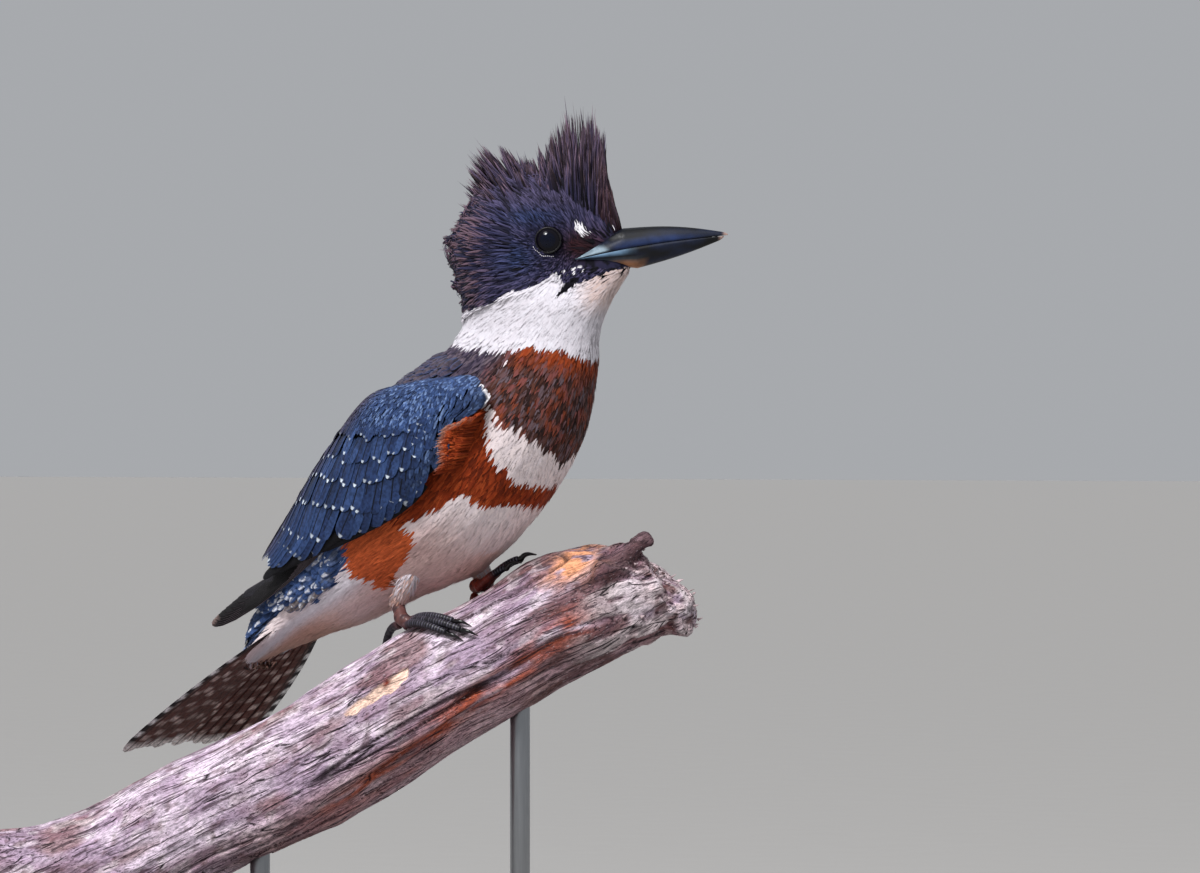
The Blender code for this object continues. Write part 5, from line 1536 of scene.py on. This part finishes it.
def repeatedTree(name, shape, look):
    # copies of one small shape on every point, turned and sized by the points' own values
    tree = bpy.data.node_groups.new(name, "GeometryNodeTree")
    tree.interface.new_socket("Geometry", in_out="INPUT", socket_type="NodeSocketGeometry")
    size = tree.interface.new_socket("Size", in_out="INPUT", socket_type="NodeSocketFloat")
    tree.interface.new_socket("Geometry", in_out="OUTPUT", socket_type="NodeSocketGeometry")
    given = tree.nodes.new("NodeGroupInput").outputs
    if shape == "bead":
        small = addNode(tree, "GeometryNodeMeshIcoSphere", {"Radius": 1.0, "Subdivisions": 2})
    else:
        small = addNode(tree, "GeometryNodeMeshCone", {"Vertices": 6, "Side Segments": 3, "Radius Top": 0.12,
                                                       "Radius Bottom": 1.0, "Depth": 1.0})
    aim, stretch = (addNode(tree, "GeometryNodeInputNamedAttribute", {"Name": key}, data_type="FLOAT_VECTOR")
                    for key in ("aim", "stretch"))
    turn = addNode(tree, "FunctionNodeAlignRotationToVector", {"Vector": aim}, axis="Z")
    full = addNode(tree, "ShaderNodeVectorMath", {0: stretch, 3: given["Size"]}, **scaleBy)
    made = addNode(tree, "GeometryNodeInstanceOnPoints", {"Points": given["Geometry"], "Instance": small,
                                                          "Rotation": turn, "Scale": full})
    made = addNode(tree, "GeometryNodeRealizeInstances", {0: made})
    made = addNode(tree, "GeometryNodeSetShadeSmooth", {0: made})
    made = addNode(tree, "GeometryNodeSetMaterial", {0: made, "Material": look})
    tree.links.new(made, tree.nodes.new("NodeGroupOutput").inputs[0])
    return tree, size.identifier


def repeatPieces(name, spots, aims, stretches, tints, shape, look):
    mesh = bpy.data.meshes.new(name + "Spots")
    mesh.from_pydata((spots * mm).tolist(), [], [])
    for layer, values in (("aim", aims), ("stretch", stretches)):
        attribute = mesh.attributes.new(layer, "FLOAT_VECTOR", "POINT")
        attribute.data.foreach_set("vector", values.astype(np.float32).ravel())
    paintLayer(mesh, "tint", tints)
    made = placed(name + "Source", mesh)
    nodes = made.modifiers.new("repeat", "NODES")
    nodes.node_group, size = repeatedTree(name + "Tree", shape, look)
    nodes[size] = mm
    solid = evaluated(made)
    print(name, len(spots), "copies", len(solid.polygons), "faces")
    piece(name, solid, look)


beads = {"count": 13, "arc": (205, 292), "reach": 6.4, "length": (0.16, 0.3), "width": (0.1, 0.2),
         "height": 0.16, "rise": 1.1}


def makeEyeBeads(side, name):
    # the short arc of white beads in the skin under the eye
    turn = np.radians(np.linspace(*beads["arc"], beads["count"]))
    rng = np.random.default_rng(51)
    reach = beads["reach"] + 0.25 * np.sin(turn * 9)
    arc = np.stack((reach * np.cos(turn), 0 * turn + side * 5, reach * np.sin(turn)), -1)
    spots, normals = skin.nearest(fromHead(np.array(eye["place"]) * (1, side, 1) + arc))
    stretch = np.stack((rng.uniform(*beads["length"], len(turn)), rng.uniform(*beads["width"], len(turn)),
                        np.full(len(turn), beads["height"])), -1)
    repeatPieces("eye_beads_" + name, spots + normals * beads["rise"], normals, stretch,
                 np.tile(colours["white"], (len(turn), 1)), "bead", looks["lid"])


for eyeSide, eyeName in ((-1, "right"), (1, "left")):
    makeEye(eyeSide, eyeName)
    makeEyeBeads(eyeSide, eyeName)
print("bill and eyes made")


legs = {
    "scute": 1.15,           # from one horny plate to the next
    "scuteRise": 0.13,
    "toe": (110, 20),        # rings along, points round
    "clawGrid": (40, 14),
    "tarsusGrid": (60, 24),
    "shinGrid": (48, 24),
    "skinLift": 0.5,
    "toeWidth": 1.3,         # skin beyond the toe bones that the solids follow
    "pinch": 0.42,           # how far the front toes close up
    "claw": (1.3, 1.15, 0.95, 0.68, 0.4, 0.14),
    "tarsus": (2.7, 2.9, 2.5, 2.9, 2.2),
    # the skin's warm colour between its plates, and the tarsus's skin, on each side: one skin, painted darker
    # and duller on the right leg and redder on the left for light and shade
    "warm": {"right": "#5a3432", "left": "#7e2f22"},
    "tarsusSkin": {"right": "#5e3b38", "left": "#8a3a28"},
}


def middleLine(name, count):
    # a node's centre line and radius, read off its own points
    points = np.array([corner.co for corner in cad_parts[name].data.vertices]) / mm
    points = np.unique(points.round(3), axis=0)
    middle = points.mean(0)
    axis = np.linalg.svd(points - middle)[2][0]
    along = (points - middle) @ axis
    order = np.argsort(along)
    gaps = np.argsort(np.diff(along[order]))[::-1][:count - 1]
    groups = np.split(order, np.sort(gaps) + 1)
    centres = np.array([points[group].mean(0) for group in groups])
    radii = np.array([np.linalg.norm(points[group] - centre, axis=1).max()
                      for group, centre in zip(groups, centres)])
    return centres, radii


def startingAt(place, centres, radii):
    # a centre line turned round where it has to be, so that it starts at that place
    away = np.linalg.norm(centres[[0, -1]] - place, axis=1)
    return (centres[::-1], radii[::-1]) if away[0] > away[1] else (centres, radii)


def tube(centres, radii, grid, shapeOf, ends):
    # a closed tube through centres: points, faces, share along, angle from its upper side
    steps, sides = grid
    share = np.linspace(0, 1, steps)
    line = spline(centres, share)
    radius = spline(radii, share)[:, 0]
    tangent = unit(np.gradient(line, axis=0))
    sky = np.array((0.0, 0.0, 1.0))
    up = unit(sky - tangent * (tangent @ sky)[:, None])
    side = np.cross(tangent, up)
    spin = np.linspace(0, 2 * np.pi, sides + 1)[:-1]
    length = np.linalg.norm(np.diff(line, axis=0), axis=1).sum()
    blunt = ((np.abs(share - 0.5) - (0.5 - radius / length)) / (radius / length)).clip(0, 1)
    blunt = np.sqrt(np.clip(1 - blunt ** 2, 0, 1)) if ends else np.ones(steps)
    reach = radius[:, None] * shapeOf(share[:, None] * length, spin[None]) * np.maximum(blunt, 0.05)[:, None]
    points = (line[:, None] + up[:, None] * (reach * np.cos(spin))[..., None]
              + side[:, None] * (reach * np.sin(spin))[..., None]).reshape(-1, 3)
    return points, outward(points, tubeFaces(steps, sides)), np.repeat(share, sides), np.tile(spin, steps)


def scaled(length, spin):
    # rings of overlapping scutes on the upper half, and soft pads below
    phase = (length / legs["scute"]) % 1
    scute = legs["scuteRise"] * (phase ** 0.6) * (0.5 + 0.5 * np.cos(spin))
    pad = 0.05 * np.sin(length * 1.9) * (0.5 - 0.5 * np.cos(spin))
    return 0.97 + scute + pad


def plain(length, spin):
    # a smooth round tube, with no plates
    return np.ones((length + spin).shape)


def makeFoot(side):
    foot = middleLine(f"tarsus_{side}", 3)[0][0]
    front = startingAt(foot, *middleLine(f"toe_middle_{side}", 7))[0]
    for toe in ("inner", "middle", "outer", "hind"):
        name = f"toe_{toe}_{side}"
        centres, radii = startingAt(foot, *middleLine(name, 7))
        centres = np.concatenate(([centres[0] * 1.6 - centres[1] * 0.6], centres))
        radii = np.concatenate(([radii[0]], radii)) * legs["toeWidth"]
        drift = np.zeros_like(centres)
        if toe in ("inner", "outer"):     # the front toes lie close together
            gap = front - centres[1:]
            gap = gap - unit(front[-1:] - front[:1]) * (gap @ unit(front[-1] - front[0]))[:, None]
            drift[1:] = gap * legs["pinch"]
        centres = centres + drift + (0, 0, legs["skinLift"])
        points, faces, share, spin = tube(centres, radii, legs["toe"], scaled, True)
        upper = 0.5 + 0.5 * np.cos(spin)
        length = np.linalg.norm(np.diff(centres, axis=0), axis=1).sum()
        phase = share * length / legs["scute"] % 1
        pale = mix("#100e15", "#7a7688", smooth(phase, 0.7, 0.95) * smooth(upper, 0.1, 0.45) * 0.6)
        # painted light and shade: the right foot kept darker and duller, the left redder, though both are one
        # skin
        warmth = smooth(share, 0.3, 0.0) * 0.7 if side == "right" else smooth(share, 0.75, 0.45)
        tint = mix(pale, legs["warm"][side], warmth * (0.7 + 0.3 * upper))
        meshOf(name + "_skin", points, faces, looks["leg"], (name,), tint)
        claw = f"claw_{toe}_{side}"
        line, thick = middleLine(claw, 5)
        line = startingAt(centres[-1], line + drift[-1] + (0, 0, 0.3), thick)[0]
        line = np.concatenate(([centres[-1]], line))
        points, faces, share, _ = tube(line, legs["claw"], legs["clawGrid"], plain, False)
        tint = mix("#0e0b0e", "#57494c", smooth(share, 0.75, 1.0) * 0.5)
        meshOf(claw + "_horn", points, faces, looks["claw"], (claw,), tint)


def makeTarsus(side):
    name = f"tarsus_{side}"
    centres = middleLine(name, 3)[0]
    centres = centres if centres[0][2] >= centres[-1][2] else centres[::-1]
    toes = middleLine(f"toe_middle_{side}", 7)[0]
    start = toes[np.argmin(np.linalg.norm(toes - centres[-1], axis=1))]
    centres = np.concatenate(([centres[0] + (centres[0] - centres[1]) * 0.5], centres, [start]))
    points, faces, share, _ = tube(centres, legs["tarsus"], legs["tarsusGrid"], scaled, False)
    # painted light and shade: the right tarsus kept darker and duller, the left redder
    tint = mix(legs["tarsusSkin"][side], "#2f2529", smooth(grain(points, 1.6, 7), 0.4, 0.75) * 0.75)
    tint = mix(tint, "#9c7c7c", smooth(share, 0.22, 0.05) * 0.5)
    meshOf(name + "_skin", points, faces, looks["leg"], (name,), tint)


for legSide in ("right", "left"):
    makeTarsus(legSide)
    makeFoot(legSide)
print("legs made")


shinCoat = {"spacing": 0.62, "length": 6.0, "width": 0.7, "lift": 0.6, "stray": 1.1, "sink": 0.3,
            "splay": 0.22, "rootShade": 0.6, "soft": 0.6}
shin = {"radii": (3.2, 3.8, 3.2, 2.6), "up": 7, "hip": 9.0, "past": 2.0}       # hip: how deep it starts


def makeShinPlumage():
    # white trousers over the shin, down to the heel
    for side in ("right", "left"):
        rng = np.random.default_rng(13)
        knee, heel = (line[np.argmax(line[:, 2])]
                      for line in (middleLine(f"shin_{side}", 2)[0], middleLine(f"tarsus_{side}", 3)[0]))
        down = unit(heel - knee)
        under, facing = skin.nearest((knee - down * shin["up"])[None])
        hip = under[0] - facing[0] * shin["hip"]
        line = np.array([hip, knee * 0.65 + hip * 0.35, knee * 0.5 + heel * 0.5, heel + down * shin["past"]])
        points, faces, _, _ = tube(line, shin["radii"], legs["shinGrid"], plain, False)

        def straightDown(_, normals):
            return unit(down - normals * (normals @ down)[:, None])

        def colourOf(spots, streak):
            rusty = smooth(spots[:, 2], heel[2] + 5, heel[2]) * 0.5
            return mix(pick(streak, "vent", "shade", "shade"), colours["vent"], rusty)

        coat("plumage_shin_" + side, rng, Surface(points, faces), lambda spots: spots[:, 2] > heel[2] + 0.5,
             shinCoat | {"lie": straightDown}, colourOf)


makeShinPlumage()


perch = {
    "pitch": 26.0,           # the branch's own slope
    "voxel": 1.0,
    # its middle line: along, height
    "line": ((-160.3, 40.5), (-124.0, 47.0), (-82.0, 68.4), (-42.0, 88.0), (0.0, 113.0), (38.0, 135.0),
             (66.0, 151.0), (90.0, 158.4), (104.0, 158.0), (112.0, 156.0)),
    "twig": ((72.0, -12.0, 160.0), (97.5, -13.0, 181.5)),
    "rib": ((72.0, 161.0), (90.0, 175.5)),       # the twig's root, standing out of the branch's face
}


def makePerch():
    points, faces = remeshed("perchGrid", [closedCopy("perch_branch", 0.0)], perch["voxel"], 2)
    surface = Surface(points, faces)
    local = toPerch(points)
    tilt = math.radians(perch["pitch"])
    u, across = local[:, 0], local[:, 1]
    above = (local[:, 2] - np.interp(u, *np.array(perch["line"]).T)) * math.cos(tilt)
    lying = np.stack((u / math.cos(tilt), across, above), -1)

    def bumps(stretch, size, seed):
        # noise drawn out along the wood's grain
        return grain(lying * (stretch, 1, 1), size, seed)

    def spots(stretch, size, seed, low, high):
        return smooth(bumps(stretch, size, seed), low, high)

    twigRoot, twigTip = np.array(perch["twig"])
    twigRun = twigTip - twigRoot
    part = np.clip(((local - twigRoot) @ twigRun) / (twigRun ** 2).sum(), 0, 1.1)
    fromTwig = np.linalg.norm(local - twigRoot - part[:, None] * twigRun, axis=1)
    onTwig = smooth(fromTwig, 7.5, 5.0) * smooth(part, 0.2, 0.5)
    neck = smooth(fromTwig, 8.0, 5.5) * smooth(part, 0.0, 0.25) * smooth(part, 0.85, 0.6)
    broken = smooth(u + 0.4 * above, 88, 108) * (1 - onTwig)
    ridges = bumps(0.09, 4.5, 31) - 0.5
    fibres = bumps(0.06, 1.8, 32) - 0.5
    lumps = bumps(0.6, 17.0, 30) - 0.5
    checks = (1 - smooth(np.abs(bumps(0.045, 8.0, 33) - 0.5), 0.0, 0.03)) * spots(0.2, 18.0, 34, 0.45, 0.6)
    pits = spots(0.5, 3.6, 35, 0.56, 0.8) * broken
    spikes = (bumps(0.2, 2.6, 36) - 0.5) * broken
    chunks = (bumps(0.8, 9.0, 48) - 0.5) * broken
    # a fresh cut ahead of the feet, a rusty stain that follows the grain, and bark torn off near the end
    gouge = np.abs((u + 10) / 12.5) ** 3 + np.abs((above - 12.5 - 0.08 * u) / 2.7) ** 2
    gouge = smooth(gouge + 1.3 * fibres + 1.2 * (bumps(0.5, 2.2, 49) - 0.5), 1.1, 0.8) * (across < 0)
    course = np.interp(u, (-60, -30, 8, 52, 70), (-21.0, -20.0, -16.0, -6.0, -3.0))
    streak = np.exp(-((above - course + 6 * ridges) / 5.6) ** 2) * (across < 6)
    streak = streak * smooth(u, -60, 0) * smooth(u, 84, 60)
    torn = spots(0.12, 3.4, 44, 0.5, 0.62) * smooth(u, 60, 84) * (above > -20)
    lumps, ridges = lumps * (1 - onTwig), ridges * (1 - 0.6 * onTwig)
    ribRoot, ribTip = np.array(perch["rib"])
    ribRun = ribTip - ribRoot
    level = np.stack((u, local[:, 2]), -1) - ribRoot
    part = np.clip((level @ ribRun) / (ribRun ** 2).sum(), 0, 1)
    stub = np.exp(-(np.linalg.norm(level - part[:, None] * ribRun, axis=1) / 4.4) ** 2)
    stub = stub * smooth(across, -2, -9) * smooth(part, 0.0, 0.3) * (1 - onTwig)
    aside = (level @ (ribRun[::-1] * (1, -1))) / np.linalg.norm(ribRun)
    under = np.exp(-((aside - 6.5) / 1.8) ** 2) * smooth(part, 0.02, 0.3) * smooth(part, 1.0, 0.9)
    under = under * smooth(across, -2, -9)
    move = (1.2 * ridges + 0.9 * fibres + 3.2 * lumps - 1.3 * checks - 1.3 * pits + 0.5 * spikes - 1.2 * gouge
            - 1.0 * streak * smooth(fibres, -0.2, 0.2) + 0.9 * torn + 8.0 * chunks + 5.5 * stub - 2.2 * under
            + 1.0 * neck)
    points = points + surface.normals * move[:, None]
    brown = smooth(u, 30, 62) * smooth(u, 92, 80) * smooth(above + 4 * ridges, 16, 8)
    knot = np.exp(-((u + 7) / 1.6) ** 2 - ((above - 13.4) / 1.3) ** 2) * (across < 0)
    fresh = np.exp(-((u - 67) / 9) ** 2 - ((above - 18) / 5.5) ** 2) * spots(0.4, 2.5, 40, 0.3, 0.5)
    deep = broken * spots(1, 3.2, 42, 0.55, 0.72) + pits
    twigWood = mix("#54383a", "#94707a", spots(0.3, 2.2, 53, 0.5, 0.7) * 0.8)
    wood = mix("#b49cb3", "#ead6e8", smooth(bumps(0.35, 4.5, 37) + 0.25 * lumps, 0.25, 0.75))
    for shade, share in (
            ("#755560", spots(0.25, 13, 38, 0.52, 0.78) * 0.65),                        # old rain stains
            ("#7c4f45", spots(0.3, 9, 43, 0.6, 0.8) * 0.7),
            ("#fbeef2", spots(0.6, 3.2, 50, 0.62, 0.74) * 0.35),                        # bleached flecks
            ("#5b3a38", spots(0.5, 2.0, 51, 0.7, 0.8) * 0.55),
            ("#d4a8a8", smooth(-above, 6, 17) * (across < 10) * smooth(u, -110, -40) * 0.6),
            ("#74484a", smooth(u, 30, 70) * spots(0.4, 6.0, 52, 0.3, 0.6) * 0.6),
            ("#5f3c3a", brown * spots(0.15, 3, 47, 0.3, 0.6) * 0.85),
            ("#bb5d42", np.clip(streak * 1.2, 0, 1) * spots(0.2, 2.6, 45, 0.2, 0.5)),     # the rusty stain
            ("#2f1d1e", streak * smooth(fibres, 0.1, 0.24) * 0.6),
            ("#e9dcdf", torn * 0.65),
            ("#efd6da", broken * spots(1, 2.6, 41, 0.42, 0.6) * 0.8),
            ("#5e302b", np.clip(deep, 0, 1) * 0.8),
            (twigWood, np.clip(onTwig + 1.5 * stub + 0.4 * neck, 0, 1) * 0.92),
            (linear("#f2cfbc") * 1.1, gouge),
            ("#7b2f20", np.clip(1.3 * knot, 0, 1)),
            (linear("#e9a27a") * 1.1, np.clip(fresh * 1.6, 0, 1)),
            ("#2a1c22", checks * 0.85),
            ("#cdb8a4", smooth(-u - 0.45 * above, 155.5, 158.5) * 0.7)):                  # the sawn end
        wood = mix(wood, shade, share)
    clean = 1 - np.clip(gouge + fresh, 0, 0.9)
    print("perch", len(faces), "triangles")
    meshOf("perch_wood", points, faces, looks["wood"], ("perch_branch",), wood,
           np.stack((clean, clean, clean), -1))
    makeSplinters(Surface(points, faces))


splinters = {"from": 84, "facing": 0.3, "below": 20, "spacing": 6.0, "length": (1.0, 2.8),
             "thick": (0.35, 0.95)}


def makeSplinters(surface):
    # torn fibres that stand out of the broken end along the grain
    rng = np.random.default_rng(61)
    tilt = math.radians(perch["pitch"])
    axis = fromPerch((math.cos(tilt), 0, math.sin(tilt)))
    place = toPerch(surface.middles)
    facing = surface.normals[surface.faces].mean(1) @ axis
    high = place[:, 2] - np.interp(place[:, 0], *np.array(perch["line"]).T)
    chosen = (place[:, 0] > splinters["from"]) & (facing > splinters["facing"]) & (high < splinters["below"])
    roots, normals = surface.scatter(rng, chosen, splinters["spacing"])
    aims = unit(axis + normals * 0.25 + rng.normal(0, 0.12, roots.shape))
    length = rng.uniform(*splinters["length"], len(roots))
    length = length * rng.choice((0.7, 1.0, 1.4), len(roots), p=(0.5, 0.4, 0.1))
    thick = rng.uniform(*splinters["thick"], len(roots))
    spots = roots + aims * (length * 0.3)[:, None]
    stretch = np.stack((thick, thick * rng.uniform(0.5, 1.0, len(roots)), length), -1)
    tints = mix("#5a3c3c", "#ddc8cc", rng.random(len(roots)))
    repeatPieces("perch_splinters", spots, aims, stretch, tints, "cone", looks["splinter"])


makePerch()


stand = {"size": (216.0, 104.0, 10.0), "corner": 22.0, "edge": 1.6, "steel": "#9a9c9f", "paint": "#26262a"}


def beveled(name, mesh, width, segments, look, stands):
    made = placed(name + "Blank", mesh)
    rim = made.modifiers.new("rim", "BEVEL")
    rim.width, rim.segments = width * mm, segments
    rim.limit_method, rim.angle_limit = "ANGLE", math.radians(60)
    solid = evaluated(made)
    solid.shade_smooth()
    solid.set_sharp_from_angle(angle=math.radians(50))
    piece(name, solid, look, stands)


def makeStand():
    # a satin painted wooden plate with eased edges, and turned steel rods
    looks["paint"] = plainLook("satinPaintedWood", stand["paint"], 0.38, 0.0, 120.0, (0.3, 1, 1), 0.2)
    looks["steel"] = plainLook("brushedSteelRod", stand["steel"], 0.32, 1.0, 900.0, (1, 1, 0.05))
    plate = bmesh.new()
    (length, width, thick), corner = stand["size"], stand["corner"]
    outline = []
    for cornerX, cornerY, start in ((1, 1, 0), (-1, 1, 90), (-1, -1, 180), (1, -1, 270)):
        for turn in np.radians(np.linspace(start, start + 90, 15)):
            spot = (cornerX * (length / 2 - corner) + corner * math.cos(turn),
                    cornerY * (width / 2 - corner) + corner * math.sin(turn), 0.0)
            outline.append(fromPerch(spot))
    low = [plate.verts.new(Vector(spot) * mm) for spot in outline]
    high = [plate.verts.new((Vector(spot) + Vector((0, 0, thick))) * mm) for spot in outline]
    plate.faces.new(low[::-1])
    plate.faces.new(high)
    for k in range(len(low)):
        plate.faces.new((low[k], low[(k + 1) % len(low)], high[(k + 1) % len(low)], high[k]))
    mesh = bpy.data.meshes.new("plate")
    plate.to_mesh(mesh)
    plate.free()
    beveled("stand_plate", mesh, stand["edge"], 3, looks["paint"], ("stand_base",))
    for end in ("rear", "front"):
        low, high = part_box("stand_rod_" + end)
        middle = (low + high) / 2
        rod = bmesh.new()
        bmesh.ops.create_cone(rod, cap_ends=True, segments=48, radius1=(high.x - low.x) / 2,
                              radius2=(high.x - low.x) / 2, depth=high.z - low.z)
        bmesh.ops.translate(rod, verts=rod.verts, vec=middle)
        mesh = bpy.data.meshes.new("rod")
        rod.to_mesh(mesh)
        rod.free()
        beveled("stand_post_" + end, mesh, 0.4, 2, looks["steel"], ("stand_rod_" + end,))


makeStand()
print("stand made")


studio = {"floor": "#9e9c9a", "world": "#e4e7ec", "worldStrength": 0.5, "half": 30.0}


def makeStudio():
    floorMesh = bpy.data.meshes.new("floor")
    half = studio["half"]
    corners = [(-half, -half, 0), (half, -half, 0), (half, half, 0), (-half, half, 0)]
    floorMesh.from_pydata(corners, [], [(0, 1, 2, 3)])
    floor = placed("floor", floorMesh)
    floorMesh.materials.append(plainLook("paleFloor", studio["floor"], 0.9, 0.0, 40.0, wear=0.02))
    world = bpy.data.worlds.new("studio")
    bpy.context.scene.world = world
    world.use_nodes = True
    background = world.node_tree.nodes["Background"]
    background.inputs[0].default_value = (*linear(studio["world"]), 1.0)
    background.inputs[1].default_value = studio["worldStrength"]


camera = {"azimuth": 34.0, "across": 78.0, "height": 221.4, "distance": 3000.0, "frameWidth": 480.0,
          "sensor": 36.0}
lamps = {
    # to the right of the view, towards the camera, height, size, watts
    "soft": (-450.0, 1000.0, 1750.0, 900.0, 12.0),
}
suns = {
    # towards it: right of the view, to the camera, up; angle, strength
    "key": (-0.32, 0.82, 1.0, 14.0, 2.6),
    "rim": (-0.7, -0.6, 1.0, 20.0, 0.55),
}


def makeView():
    turn = math.radians(camera["azimuth"])
    right = Vector((math.cos(turn), math.sin(turn), 0))
    back = Vector((math.sin(turn), -math.cos(turn), 0))
    target = right * camera["across"] + Vector((0, 0, camera["height"]))
    view = placed("camera", bpy.data.cameras.new("camera"))
    view.data.sensor_width = camera["sensor"]
    view.data.lens = camera["sensor"] * camera["distance"] / camera["frameWidth"]
    view.data.clip_end = 100.0
    view.location = (target + back * camera["distance"]) * mm
    view.rotation_euler = (-back).to_track_quat("-Z", "Y").to_euler()
    bpy.context.scene.camera = view
    for name, (across, near, high, size, power) in lamps.items():
        lamp = placed(name + "Light", bpy.data.lights.new(name, "AREA"))
        lamp.data.shape, lamp.data.size, lamp.data.energy = "DISK", size * mm, power
        lamp.location = (right * across + back * near + Vector((0, 0, high))) * mm
        aim = Vector((0, 0, camera["height"])) * mm - lamp.location
        lamp.rotation_euler = aim.to_track_quat("-Z", "Y").to_euler()
    for name, (across, near, high, angle, strength) in suns.items():
        lamp = placed(name + "Light", bpy.data.lights.new(name, "SUN"))
        lamp.data.energy, lamp.data.angle = strength, math.radians(angle)
        aim = -(right * across + back * near + Vector((0, 0, high)))
        lamp.rotation_euler = aim.to_track_quat("-Z", "Y").to_euler()


makeStudio()
makeView()
bpy.context.scene.view_settings.view_transform = "Standard"
print("studio made")
